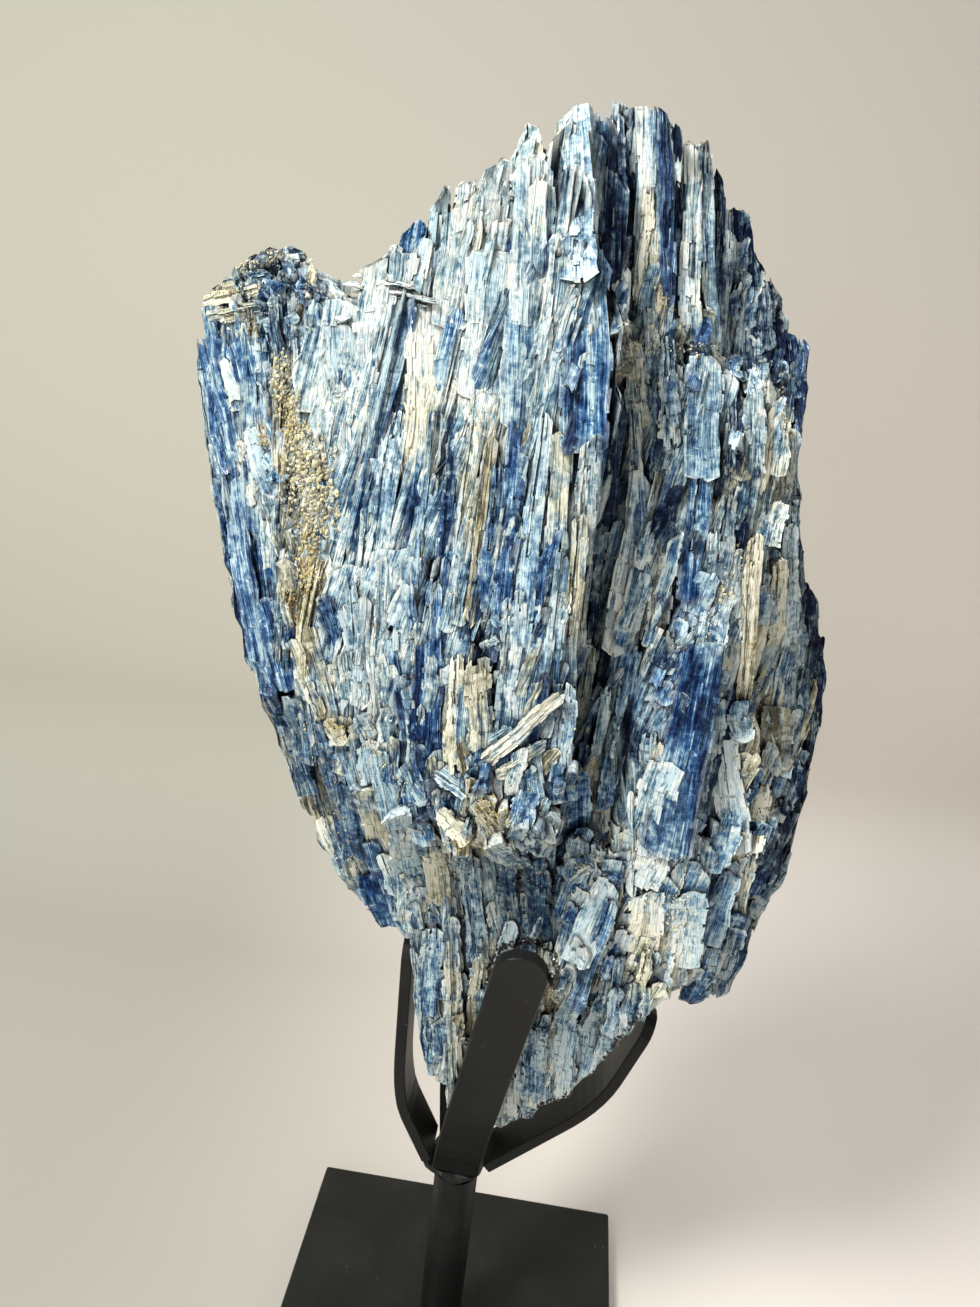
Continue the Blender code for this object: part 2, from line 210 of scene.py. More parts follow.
    raised = sheet.bump(fine * 1.1 + streak + crumb * 0.7 - flake * 0.5 + flakeTone * 0.3, 0.9, 0.5 * mm)
    raised = sheet.bump(speck + rungs * 0.4, 0.4, 0.15 * mm, raised)
    rough = (crumb * 0.8 + patch * 0.5 + tan * 0.30 + 0.23).clamped() + 0.04
    shine = (fine * 1.6 + speck * 1.4 + broad * 0.8).between(0.0, 0.55) * 0.8 + 0.08
    return sheet.set(Base_Color=colour, Roughness=rough, Normal=raised, Coat_Weight=shine, Coat_Roughness=0.12,
                     IOR=1.22)


# Rough matrix between the crystals
grainFinish = {
    "pale": (0.68, 0.63, 0.42), "tan": (0.46, 0.37, 0.15), "rust": (0.46, 0.22, 0.03), "grey": (0.20, 0.22, 0.22),
}


def makeGrain(name, values):
    sheet = Sheet(name)
    place = sheet.place()
    strand = sheet.attribute("strand", 2)
    tan = sheet.parts(sheet.attribute("paint"), "Color")[2]
    broad = sheet.noise(place, 160.0, 4.0, 0.6)
    speck = sheet.noise(place, 900.0, 3.0, 0.6)
    colour = sheet.mix(strand.between(0.1, 0.8), values["grey"], values["pale"])
    colour = sheet.mix((tan * 0.5 + broad * 0.6).between(0.38, 0.75), colour, values["tan"])
    colour = sheet.mix((tan + strand * 0.3).between(0.95, 1.10), colour, values["rust"])
    colour = sheet.mix(speck.between(0.55, 0.8) * 0.5, colour, (0.75, 0.72, 0.62))
    raised = sheet.bump(speck, 0.6, 0.15 * mm)
    raised = sheet.bump(broad, 0.5, 0.4 * mm, raised)
    return sheet.set(Base_Color=colour, Roughness=speck * 0.4 + 0.35, Normal=raised, Coat_Weight=0.1)


# Stand finishes
steelFinish = {"paint": (0.0078, 0.0082, 0.0080), "worn": (0.022, 0.023, 0.022), "dust": (0.16, 0.155, 0.15)}


def makeSteel(name, values, dusty=1.0, rough=0.38, shine=0.2):
    sheet = Sheet(name)
    place = sheet.place()
    cloud = sheet.noise(place, 45.0, 5.0, 0.6, 0.3)
    peel = sheet.noise(place, 1100.0, 2.0, 0.5)
    specks = sheet.cells(place, 620.0)
    specksHere = sheet.noise(place, 130.0, 2.0, 0.5)
    scratch = sheet.noise(sheet.vector(*[axis * k for axis, k in zip(sheet.parts(place), (60, 900, 60))]), 1.0, 2.0)
    dust = (specks * -1 + 0.16).between(0.0, 0.05) * specksHere.between(0.6, 0.72) * dusty
    colour = sheet.mix(cloud.between(0.4, 0.75) * 0.5, values["paint"], values["worn"])
    colour = sheet.mix(dust * 0.7, colour, values["dust"])
    finish = cloud * 0.16 + peel * 0.06 + scratch.between(0.62, 0.75) * 0.07 + (rough - 0.1)
    raised = sheet.bump(peel, 0.22, 0.05 * mm)
    raised = sheet.bump(cloud, 0.12, 0.6 * mm, raised)
    return sheet.set(Base_Color=colour, Roughness=finish + dust * 0.3, Normal=raised, Specular_IOR_Level=shine)


stoneSheet = makeKyanite("kyaniteFaces", kyaniteFinish)
grainSheet = makeGrain("matrixGrains", grainFinish)
steelSheet = makeSteel("satinBlackPaint", steelFinish)
weldSheet = makeSteel("paintedWeld", steelFinish, 0.5, 0.44)
glueSheet = makeSteel("darkGlue", {"paint": (0.012, 0.012, 0.013), "worn": (0.05, 0.048, 0.045),
                                   "dust": (0.2, 0.19, 0.17)}, 0.6, 0.26, 0.6)
for part in ("base_plate", "post", "front_prong", "left_prong", "right_prong", "back_prong"):
    nodes[part].data.materials[0] = steelSheet
nodes["weld"].data.materials[0] = weldSheet
print("finishes made")

# The camera stands where the picture was taken from; "focal" and "middle" are in points of the picture
cameraValues = {
    "place": (0.008, -0.220, 0.291), "focal": 983, "middle": (490, 653.5), "high": 1307, "sensor": 36,
    "right": (0.98903, 0.10663, 0.10222), "down": (0.12990, -0.29844, -0.94555),
    "forward": (-0.07032, 0.94845, -0.30902),
}
viewPlace = np.array(cameraValues["place"])
viewRows = np.array([cameraValues["right"], cameraValues["down"], cameraValues["forward"]])
focal = cameraValues["focal"]
middleX, middleY = cameraValues["middle"]


def seenAt(points):
    # where points of the scene show in the picture
    x, y, depth = ((points - viewPlace) @ viewRows.T).T
    return np.stack([middleX + focal * x / depth, middleY + focal * y / depth], 1)


def rayAt(x, y):
    # from the camera through a point of the picture, one metre deep
    return viewRows[0] * (x - middleX) / focal + viewRows[1] * (y - middleY) / focal + viewRows[2]


def gapTo(seen, start, end):
    # from points of the picture to the nearest spot of a line in it, and how far that is
    start = np.array(start, float)
    reach = np.array(end) - start
    share = np.clip(((seen - start) @ reach) / max(reach @ reach, 1e-9), 0, 1)
    gap = start + share[:, None] * reach - seen
    return gap, np.linalg.norm(gap, axis=1)


def insideLine(x, y, line):
    inside = np.zeros(np.shape(x), bool)
    for (x0, y0), (x1, y1) in zip(line, [*line[1:], line[0]]):
        if y0 != y1:
            inside ^= ((y0 > y) != (y1 > y)) & (x < (x1 - x0) * (y - y0) / (y1 - y0) + x0)
    return inside


# Small helpers for modelling
def letGo():
    for thing in list(bpy.context.selected_objects):
        thing.select_set(False)


def take(thing):
    letGo()
    thing.select_set(True)
    bpy.context.view_layer.objects.active = thing


def readAll(items, name, size=1, kind=np.float32):
    values = np.empty(len(items) * size, kind)
    items.foreach_get(name, values)
    return values.reshape(-1, size) if size > 1 else values


def pickFaces(thing, test):
    bpy.ops.object.mode_set(mode="OBJECT")
    mesh = thing.data
    chosen = np.asarray(test(*(readAll(mesh.polygons, name, 3) for name in ("center", "normal"))), bool)
    mesh.vertices.foreach_set("select", np.zeros(len(mesh.vertices), bool))
    mesh.edges.foreach_set("select", np.zeros(len(mesh.edges), bool))
    mesh.polygons.foreach_set("select", chosen)
    bpy.ops.object.mode_set(mode="EDIT")
    return bool(chosen.any())


def pushFaces(thing, test, move):
    if pickFaces(thing, test):
        bpy.ops.mesh.extrude_region_move(TRANSFORM_OT_translate={"value": move})


def pointsOf(mesh):
    return readAll(mesh.vertices, "co", 3).astype(np.float64)


def setPoints(mesh, points):
    mesh.vertices.foreach_set("co", np.ascontiguousarray(points, np.float32).ravel())
    mesh.update()


def addValues(mesh, name, kind, values):
    made = mesh.attributes.new(name, kind, "POINT")
    values = np.ascontiguousarray(values, np.float32).ravel()
    made.data.foreach_set("color" if kind == "FLOAT_COLOR" else "value", values)


def addThing(name, data):
    thing = bpy.data.objects.new(name, data)
    bpy.context.scene.collection.objects.link(thing)
    return thing


def joinAs(name, things):
    take(things[0])
    for thing in things:
        thing.select_set(True)
    bpy.ops.object.join()
    joined = bpy.context.object
    joined.name = joined.data.name = name
    return joined


def dress(piece, material):
    piece.data.materials.clear()
    piece.data.materials.append(material)
    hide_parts("kyanite")
    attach(piece, "root")


bpy.context.tool_settings.mesh_select_mode = (False, False, True)

# One crystal lath: thin layers lie on its face, broken off along it, and its ends are stepped
lathKeys = ("faces", "width", "depth", "length", "strips", "rows", "layers", "layer", "levels", "ends", "jitter",
            "wave", "broken", "wander", "crown")
lathRows = {
    "plate": (1300, 5.0, 9.0, 60.0, 5, 16, 3, 0.12, 4, (0.4, 0.5, 0.5), 0.05, 0.4, 0.9, 0.35, 0.9),
    "lath": (1400, 5.0, 9.0, 60.0, 6, 20, 4, 0.20, 4, (0.5, 0.6, 0.6), 0.08, 0.5, 1.7, 0.4, 0.8),
    "rough": (1700, 5.0, 9.0, 60.0, 5, 34, 4, 0.34, 5, (0.5, 0.7, 0.8), 0.15, 0.8, 4.2, 0.6, 0.7),
    "chip": (380, 4.0, 3.0, 16.0, 4, 8, 3, 0.18, 3, (0.2, 0.3), 0.07, 0.2, 1.4, 0.3, 0.8),
    "sheet": (1000, 12.0, 2.0, 40.0, 10, 18, 3, 0.10, 5, (0.3, 0.4), 0.05, 0.4, 1.1, 0.8, 1.8),
    "slab": (950, 7.0, 3.0, 30.0, 7, 12, 3, 0.11, 4, (0.2, 0.3), 0.05, 0.3, 0.9, 0.4, 1.1),
}
lathKinds = {kind: dict(zip(lathKeys, row)) for kind, row in lathRows.items()}
for kind, faces in (("chip", 220), ("slab", 330), ("lath", 330)):
    lathKinds["small" + kind] = {**lathKinds[kind], "faces": faces}


# How fast the shifts of a blank's points change across it, in radians a mm
jostleWaves = np.array(((17.3, 5.9, 3.1), (4.3, 19.7, 7.7), (2.9, 6.1, 15.1)))


def cutLevels(chance, strips, rows, levels, broken):
    # how many layers are left on each cell of the face
    left = np.zeros((strips, rows), int)
    height = chance.randint(1, levels - 1)
    for strip in left:
        if chance.random() < 0.55:
            height = min(levels, max(0, height + chance.choice((-2, -1, 1, 2))))
        strip[:] = height
    for piece in range(int(strips * broken)):
        strip = chance.randrange(strips)
        wide = chance.choice((1, 1, 1, 2, 3))
        start = chance.randrange(rows)
        long = chance.choice((1, 2, 3, 5, 8, 12))
        left[strip:strip + wide, start:start + long] += chance.choice((-2, -1, -1, 1))
    return np.clip(left, 0, levels)


def brokenLine(chance, rough, count=40):
    # a wandering edge with a few sudden nicks
    line = [0.0]
    for step in range(count):
        jump = chance.gauss(0, 0.28) if chance.random() > 0.12 else chance.uniform(-1, 1)
        line.append(line[-1] * 0.86 + jump)
    return np.array(line) / max(1e-6, np.abs(line).max()) * rough


def wearEdges(blank, chance, values):
    # the straight sides wander, and the ends round off and dip, as broken layers do
    points = pointsOf(blank.data) / mm
    side = points[:, 0] / values["width"]
    share = points[:, 2] / values["length"]
    marks = np.linspace(0, 1, 41)
    for turn in (1, -1):
        edge = np.interp(np.clip(share, 0, 1), marks, brokenLine(chance, values["wander"]))
        points[:, 0] += np.clip(side * turn * 2, 0, 1) * edge
    for turn, near in ((1, share > 0.5), (-1, share < 0.5)):
        crown = np.interp(np.clip(side + 0.5, 0, 1), marks[::5], brokenLine(chance, values["wander"], 8))
        crown -= values["crown"] * np.abs(side * 2) ** 2.2
        grip = np.clip((np.abs(share - 0.5) - 0.25) / 0.25, 0, 1)
        points[:, 2] += np.where(near, crown * turn * grip, 0)
    setPoints(blank.data, points * mm)


def jostle(blank, chance, test, size):
    # each point's shift comes from its place alone, because the order of the points isn't the same each run
    if pickFaces(blank, test):
        bpy.ops.object.mode_set(mode="OBJECT")
        points = pointsOf(blank.data)
        held = readAll(blank.data.vertices, "select", 1, bool)
        waves = np.sin(points / mm @ jostleWaves + chance.randrange(1000) * np.array((1.0, 2.3, 3.7)))
        setPoints(blank.data, points + waves * held[:, None] * size * 0.8 * mm)
        bpy.ops.object.mode_set(mode="EDIT")


def putInOrder(blank):
    points = pointsOf(blank.data)
    order = np.lexsort(np.round(points.T / mm, 3))
    rank = np.argsort(order)
    faces = [[int(rank[corner]) for corner in face.vertices] for face in blank.data.polygons]
    faces = [face[face.index(min(face)):] + face[:face.index(min(face))] for face in faces]
    ordered = bpy.data.meshes.new(blank.name)
    ordered.from_pydata(points[order], [], sorted(faces))
    blank.data = ordered


def cellOf(marks, places):
    return np.clip(np.searchsorted(marks, places) - 1, 0, len(marks) - 2)


def layeredBlank(name, seed, values):
    chance = random.Random(seed)
    width, depth, length = (values[key] * mm for key in ("width", "depth", "length"))
    strips, rows, layers = values["strips"], values["rows"], values["layers"]
    letGo()
    bpy.ops.mesh.primitive_cube_add(size=1, location=(0, depth / 2, length / 2), scale=(width, depth, length))
    blank = bpy.context.object
    blank.name = name
    bpy.ops.object.transform_apply(location=True, rotation=False, scale=True)
    bpy.ops.object.mode_set(mode="EDIT")
    columns = np.linspace(-width / 2, width / 2, strips + 1)
    columns[1:-1] += [chance.uniform(-0.25, 0.25) * width / strips for cut in range(strips - 1)]
    marks = np.linspace(0, length, rows + 1)
    marks[1:-1] += [chance.uniform(-0.4, 0.4) * length / rows for cut in range(rows - 1)]
    depths = [depth * share for share in (0.07, 0.17, 0.33)][:layers - 1]
    cuts = [((x, 0, 0), (1, 0, 0)) for x in columns[1:-1]] + [((0, 0, z), (0, 0, 1)) for z in marks[1:-1]]
    cuts += [((0, y, 0), (0, 1, 0)) for y in depths]
    for at, facing in cuts:
        bpy.ops.mesh.select_all(action="SELECT")
        bpy.ops.mesh.bisect(plane_co=at, plane_no=facing)

    # the far side is never seen, so it stays plain
    if pickFaces(blank, lambda at, out: out[:, 1] > 0.9):
        bpy.ops.mesh.dissolve_limited(angle_limit=0.02)

    levels = values["levels"]
    left = cutLevels(chance, strips, rows, levels, values["broken"])
    for level in range(1, levels + 1):
        high = values["layer"] * chance.uniform(0.7, 1.3) * mm
        pushFaces(blank, lambda at, out: (out[:, 1] < -0.9) & (
            left[cellOf(columns, at[:, 0]), cellOf(marks, at[:, 2])] >= level), (0, -high, 0))

    # chips stand out of both sides, so that the edges aren't straight
    for turn in (1, -1):
        pushFaces(blank, lambda at, out: (out[:, 0] * turn > 0.9) & (at[:, 1] < 0.3 * depth)
                  & (np.sin(at[:, 2] * 900 + seed * turn) + np.sin(at[:, 2] * 2300 + seed) > 0.3),
                  (turn * chance.uniform(0.25, 0.55) * mm, 0, 0))

    # ends: each strip and layer breaks off at its own length
    depthMarks = np.array([-1.0] + depths + [1.0])
    for end in (1, -1):
        tips = np.array([[chance.random() for layer in range(layers)] for strip in range(strips)])
        tips += np.array([chance.random() for strip in range(strips)])[:, None]
        for number, step in enumerate(values["ends"]):
            bar = 0.35 + number * 0.38
            far = end * step * chance.uniform(0.7, 1.3) * mm
            pushFaces(blank, lambda at, out: (out[:, 2] * end > 0.9) & (
                tips[cellOf(columns, at[:, 0]), cellOf(depthMarks, at[:, 1])] > bar), (0, 0, far))
        jostle(blank, chance, lambda at, out: out[:, 2] * end > 0.5, 0.16)
    jostle(blank, chance, lambda at, out: out[:, 1] < 0.5, values["jitter"])
    bpy.ops.mesh.select_all(action="SELECT")
    bpy.ops.mesh.normals_make_consistent(inside=False)
    bpy.ops.object.mode_set(mode="OBJECT")
    putInOrder(blank)
    wearEdges(blank, chance, values)

    texture = bpy.data.textures.new(name + "Wave", "CLOUDS")
    texture.noise_scale = 7 * mm
    wave = blank.modifiers.new("Wave", "DISPLACE")
    wave.texture = texture
    wave.strength = values["wave"] * mm
    wave.mid_level = 0.5
    wave.direction = "Y"
    fewer = blank.modifiers.new("Fewer", "DECIMATE")
    fewer.ratio = min(1.0, values["faces"] / sum(len(face.vertices) - 2 for face in blank.data.polygons))
    take(blank)
    bpy.ops.object.modifier_apply(modifier="Wave")
    bpy.ops.object.modifier_apply(modifier="Fewer")
    blank.hide_render = True
    return blank


lathBlanks = {}
for kind, values in lathKinds.items():
    seed = 60 if kind.startswith("small") else 40
    lathBlanks[kind] = [layeredBlank(f"{kind}Blank{number}", seed + number, values) for number in range(7)]
print("blanks made:", {kind: len(blanks[0].data.polygons) for kind, blanks in lathBlanks.items()})

# Where the crystals lie, in mm: the outer face's foot (x, z) and head (x, z), its y at the foot and at the
# head, width, depth, the turn of the face in degrees, laths, and the slope of the head
leftBlock = (
    (-62, 203, -78, 281, -3, -4, 14, 22, 48, 3, -5), (-55, 208, -71, 292, -15, -14, 12, 24, 30, 2, -4),
    (-48, 207, -61, 299, -24, -19, 13, 28, 12, 3, -3), (-38, 206, -51, 297, -28, -23, 13, 30, -2, 3, 4),
    (-44, 214, -56, 300, -12, -12, 12, 24, 0, 2, 3),
)
centrePlates = (
    (-44, 204, -36, 299, -31, -25, 14, 26, 6, 3, -6), (-37, 198, -28, 305, -33, -26, 12, 28, 2, 3, -5),
    (-29, 194, -21, 313, -33, -24, 12, 26, 7, 3, -5), (-22, 190, -13, 318, -35, -25, 12, 28, 0, 3, -5),
    (-14, 186, -7, 325, -36, -24, 11, 26, -3, 3, -4), (-7, 184, -1, 328, -35, -21, 11, 26, 5, 2, -3),
    (-1, 186, -3, 318, -39, -31, 12, 20, 2, 3, -3), (9, 190, 4, 303, -41, -35, 14, 22, -4, 3, 6),
    (17, 200, 9, 286, -38, -36, 9, 20, -9, 2, 6), (5, 255, 0, 330, -23, -18, 12, 22, -4, 3, -2),
)
rightRidges = (
    (11, 246, 4, 333, -12, -9, 9, 22, 0, 2, -2), (17, 242, 9, 333, -15, -12, 8, 24, 12, 2, 2),
    (23, 246, 13, 333, -20, -14, 7, 26, 0, 1, 2), (28, 256, 20, 329, -16, -12, 8, 24, -10, 3, 3),
    (34, 256, 27, 321, -11, -8, 7, 22, -18, 2, 3), (38, 252, 33, 314, -5, -3, 9, 20, -34, 2, 4),
    (44, 250, 39, 306, -3, -1, 10, 20, -42, 3, 4), (50, 246, 44, 297, -4, -2, 10, 20, -36, 3, 3),
    (55, 238, 49, 291, -4, -3, 9, 18, -48, 2, 2),
)
rightBlades = (
    (13, 192, 17, 283, -20, -18, 9, 26, 4, 3, 2), (24, 184, 24, 289, -22, -19, 10, 28, 8, 3, -2),
    (34, 186, 31, 288, -25, -22, 10, 28, -5, 3, 2), (44, 226, 40, 284, -24, -21, 10, 26, -10, 3, 2),
    (50, 244, 45, 279, -18, -16, 8, 22, -14, 2, 3), (49, 188, 45, 262, -22, -19, 13, 28, -14, 3, 3),
    (61, 190, 51, 262, -13, -10, 12, 26, -32, 3, 3), (70, 172, 61, 246, -1, 0, 14, 24, -46, 3, 4),
    (34, 178, 40, 236, -31, -29, 12, 18, -5, 3, 3), (45, 182, 50, 224, -27, -25, 11, 20, -14, 3, 3),
    (14, 186, 19, 234, -30, -29, 6, 20, 8, 2, -3), (25, 182, 29, 226, -25, -24, 5, 16, -8, 1, 3),
)
lowerBlades = (
    (-40, 166, -58, 212, -6, -6, 14, 22, 44, 3, -3), (-31, 162, -49, 210, -16, -15, 13, 24, 24, 3, -3),
    (-21, 158, -38, 208, -22, -21, 13, 24, 10, 3, 3), (-14, 154, -27, 206, -24, -26, 12, 24, -2, 2, 3),
    (-7, 105, -19, 196, -14, -27, 11, 24, 12, 3, 2), (0, 92, -8, 194, -10, -27, 11, 20, 4, 3, 1),
    (8, 92, 3, 192, -11, -26, 11, 20, -3, 3, 1), (18, 103, 13, 192, -14, -25, 12, 20, -6, 3, 2),
    (25, 116, 24, 186, -15, -24, 12, 20, -12, 3, 2), (20, 150, 24, 190, -31, -31, 11, 20, 6, 3, 2),
    (28, 143, 34, 192, -29, -31, 11, 22, 0, 3, 2), (36, 151, 43, 194, -30, -30, 11, 22, -6, 3, 2),
    (47, 149, 53, 196, -24, -26, 11, 24, -16, 3, 2), (57, 146, 62, 196, -12, -14, 14, 26, -36, 3, 2),
    (64, 166, 69, 200, 0, -2, 10, 20, -50, 2, 2),
)
backBlades = (
    (-54, 198, -67, 274, 13, 10, 18, 24, 158, 3, 4), (-40, 186, -50, 281, 21, 15, 17, 26, 171, 3, -4),
    (-26, 170, -34, 286, 26, 16, 16, 28, 178, 3, 5), (-12, 150, -18, 296, 29, 15, 15, 28, 186, 3, 4),
    (3, 128, -6, 302, 28, 12, 16, 28, 178, 3, -4), (17, 134, 7, 309, 30, 12, 15, 26, 184, 3, 4),
    (31, 148, 20, 302, 26, 12, 15, 26, 176, 3, 5), (44, 160, 32, 284, 25, 12, 15, 26, 196, 3, 4),
    (57, 172, 45, 268, 18, 10, 15, 24, 213, 3, 5), (66, 178, 58, 244, 12, 8, 12, 22, 236, 2, 3),
    (0, 98, -8, 190, 13, 25, 13, 22, 170, 3, 3), (11, 98, 6, 182, 13, 25, 13, 22, 184, 3, 3),
    (25, 118, 24, 190, 14, 23, 15, 22, 198, 3, 3), (-30, 170, -42, 230, 18, 20, 18, 22, 156, 3, 3),
    (-18, 150, -28, 214, 18, 24, 16, 22, 168, 2, 3), (42, 150, 46, 206, 14, 22, 16, 22, 200, 3, 3),
)
coreBlocks = (
    (-50, 210, -59, 282, -10, -10, 18, 20, 0, 1, 0), (-32, 192, -40, 284, -18, -19, 24, 32, 0, 1, 0),
    (-8, 162, -16, 300, -18, -20, 26, 32, 0, 1, 0), (10, 130, 1, 310, -14, -14, 26, 27, 0, 1, 0),
    (28, 142, 16, 308, -10, -10, 24, 22, 0, 1, 0), (44, 160, 34, 282, -8, -6, 24, 18, 0, 1, 0),
    (57, 178, 47, 264, -4, -2, 18, 12, 0, 1, 0), (4, 104, 0, 190, -4, -12, 20, 18, 0, 1, 0),
    (20, 116, 18, 190, -4, -12, 22, 18, 0, 1, 0),
)


bladeValues = {
    "step": 2.2, "twist": 1.6, "sway": 0.22, "ragged": 4.5, "tilt": 4.0, "endSlope": 2.4, "spread": 1.12,
    "taper": 0.92, "seed": 11, "bow": 0.25,
}
# What a crystal laid by itself has in common with all the others of its kind
plainSpot = {"laths": 1, "slope": 0.0, "middle": 0.0, "blade": 1.0, "bottom": 0.0, "top": 0.0, "tilt": 0.0}


def bladeAxes(blade):
    # the blade's foot, its length, and the ways along it, across it and out of it
    footX, footZ, headX, headZ, footY, headY, width, depth, turn = blade[:9]
    foot, head = Vector((footX, footY, footZ)), Vector((headX, headY, headZ))
    along = (head - foot).normalized()
    across = Vector((1, 0, 0))
    across = (across - along * across.dot(along)).normalized()
    across = Matrix.Rotation(-math.radians(turn), 3, along) @ across
    axes = (np.array(along), np.array(across), np.array(across.cross(along).normalized()))
    return np.array(foot), (head - foot).length, axes


def layLath(name, blank, values, foot, axes, lath):
    # the blank is stretched to one lath's own place, width, depth and length
    along, across, normal = axes
    thing = addThing(name, blank.data.copy())
    mesh = thing.data
    points = pointsOf(mesh) / mm
    side = points[:, 0] / values["width"]
    deep = points[:, 1]
    detail = min(values["depth"] * 0.5, lath["depth"] * 0.5)
    rest = np.clip(deep - detail, 0, None) / (values["depth"] - detail)
    deep = np.minimum(deep, detail) + rest * (lath["depth"] - detail) + lath.get("sink", 0.0)
    out = 0.5 - deep / lath["depth"]
    inner = np.clip(points[:, 2], 0, values["length"])
    share = inner / values["length"]
    narrow = 1 + (lath.get("taper", bladeValues["taper"]) - 1) * share
    offset = (lath["middle"] * lath["blade"] + side * lath["width"]) * narrow
    offset += bladeValues["sway"] * np.sin(share * 9 + deep * 0.8 + lath["strand"] * 70) * (np.abs(side) * 2)
    fall = lath["slope"] * (lath["middle"] + side / lath["laths"]) + lath["tilt"] * side
    top = lath["length"] + lath["top"] - fall - (0.5 - out) * bladeValues["endSlope"] - lath.get("short", 1.6)
    bottom = lath["bottom"] + (0.5 - out) * bladeValues["endSlope"] + lath.get("short", 1.6)
    far = bottom + (top - bottom) * share + (points[:, 2] - inner)
    lift = lath["step"] + lath["twist"] * side - deep
    lift += bladeValues["bow"] * np.sin(far * 0.09 + lath["strand"] * 40)
    lift += 0.2 * np.sin(far * 0.31 + lath["strand"] * 90)
    spots = foot + across * offset[:, None] + along * far[:, None] + normal * lift[:, None]
    setPoints(mesh, spots * mm)
    lay = mesh.uv_layers.new(name="lay")
    flat = np.stack([side * lath["width"] + 0.9 * deep, far], 1)[readAll(mesh.loops, "vertex_index", 1, np.int32)]
    lay.data.foreach_set("uv", np.ascontiguousarray(flat, np.float32).ravel())
    addValues(mesh, "strand", "FLOAT", np.full(len(points), lath["strand"]))
    rim = np.minimum((0.5 - np.abs(side)) * lath["width"], np.minimum(far - bottom, top - far))
    addValues(mesh, "rim", "FLOAT", rim)
    return thing


def layBlades(group, blades, chance, looks, kinds, calm=0.5, ragged=True):
    # the same run of chance as the solid, so that each lath lies on the solid's own
    made = []
    for number, blade in enumerate(blades):
        foot, whole, axes = bladeAxes(blade)
        width, depth, turn, laths, slope = blade[6:]
        for lath in range(laths):
            spot = {**plainSpot, "laths": laths, "slope": slope, "depth": depth, "blade": width, "length": whole,
                    "middle": (lath + 0.5) / laths - 0.5, "width": width / laths * bladeValues["spread"],
                    "step": 0.0, "twist": 0.0}
            if ragged and laths > 1:
                spot["step"] = chance.uniform(-bladeValues["step"], 0) * calm
            if ragged:
                spot["top"] = chance.uniform(-0.5, 0.5) * bladeValues["ragged"]
                spot["bottom"] = chance.uniform(0, bladeValues["ragged"])
                spot["tilt"] = chance.uniform(-bladeValues["tilt"], bladeValues["tilt"])
                spot["twist"] = chance.uniform(-bladeValues["twist"], bladeValues["twist"]) * calm
            spot["strand"] = looks.random()
            kind = looks.choice(kinds)
            blank = looks.choice(lathBlanks[kind])
            made.append(layLath(f"{group}{number}.{lath}", blank, lathKinds[kind], foot, axes, spot))
    return made


chance = random.Random(bladeValues["seed"])
looks = random.Random(5)
groups = {}
for group, blades, kinds, calm in (
    ("leftBlades", leftBlock, ("plate", "lath", "rough"), 0.4), ("centreBlades", centrePlates, ("plate",), 0.3),
    ("ridgeBlades", rightRidges, ("plate", "lath"), 0.8), ("rightBlades", rightBlades, ("lath", "plate"), 0.8),
    ("lowerBlades", lowerBlades, ("lath", "plate"), 0.7), ("backBlades", backBlades, ("lath", "plate"), 0.6),
):
    groups[group] = layBlades(group, blades, chance, looks, kinds, calm)
groups["coreBlades"] = layBlades("coreBlades", coreBlocks, chance, looks, ("rough",), ragged=False)


# Thin chips and slivers lie on the blades
chipValues = {
    "width": (1.2, 4.2), "length": (6, 30), "depth": (1.2, 2.4), "lift": (-0.3, 0.5), "lean": 2.0, "each": 5.0,
}
sheetValues = {
    "width": (7, 14), "length": (20, 62), "depth": (1.4, 2.6), "lift": (-0.2, 0.7), "lean": 1.5, "each": 2.4,
}


def layChips(group, kind, blades, looks, values, many=1.0):
    made = []
    for number, blade in enumerate(blades):
        foot, whole, (along, across, normal) = bladeAxes(blade)
        width = blade[6]
        for chip in range(int(values["each"] * many * whole / 100 * width / 10)):
            long = looks.uniform(*values["length"])
            start = looks.uniform(0.0, max(1.0, whole - long - 2))
            aside = looks.uniform(-0.46, 0.46) * width
            lean = math.radians(looks.gauss(0, values["lean"]))
            line = along * math.cos(lean) + across * math.sin(lean)
            beside = across * math.cos(lean) - along * math.sin(lean)
            spot = {**plainSpot, "short": 1.2, "length": long, "depth": looks.uniform(*values["depth"]),
                    "width": looks.uniform(*values["width"]), "step": looks.uniform(*values["lift"]),
                    "tilt": looks.uniform(-3, 3), "twist": looks.uniform(-0.5, 0.5), "strand": looks.random()}
            made.append(layLath(f"{group}{number}.{chip}", looks.choice(lathBlanks[kind]), lathKinds[kind],
                                foot + along * start + across * aside, (line, beside, normal), spot))
    return made


groups["frontChips"] = []
for group, blades in (("leftChips", leftBlock), ("centreChips", centrePlates), ("ridgeChips", rightRidges),
                      ("rightChips", rightBlades), ("lowerChips", lowerBlades)):
    groups["frontChips"] += layChips(group, "chip", blades, looks, chipValues)
groups["backChips"] = layChips("backChips", "chip", backBlades, looks, chipValues, 0.5)
groups["sheets"] = []
for group, blades, many in (("centreSheets", centrePlates, 1.0), ("leftSheets", leftBlock, 0.7),
                            ("rightSheets", rightBlades + lowerBlades, 0.3)):
    groups["sheets"] += layChips(group, "sheet", blades, looks, sheetValues, many)
groups["backSheets"] = layChips("backSheets", "sheet", backBlades, looks, sheetValues, 0.7)
stonePieces = [joinAs(group, things) for group, things in groups.items()]
print("blades laid:", {piece.name: len(piece.data.polygons) for piece in stonePieces})


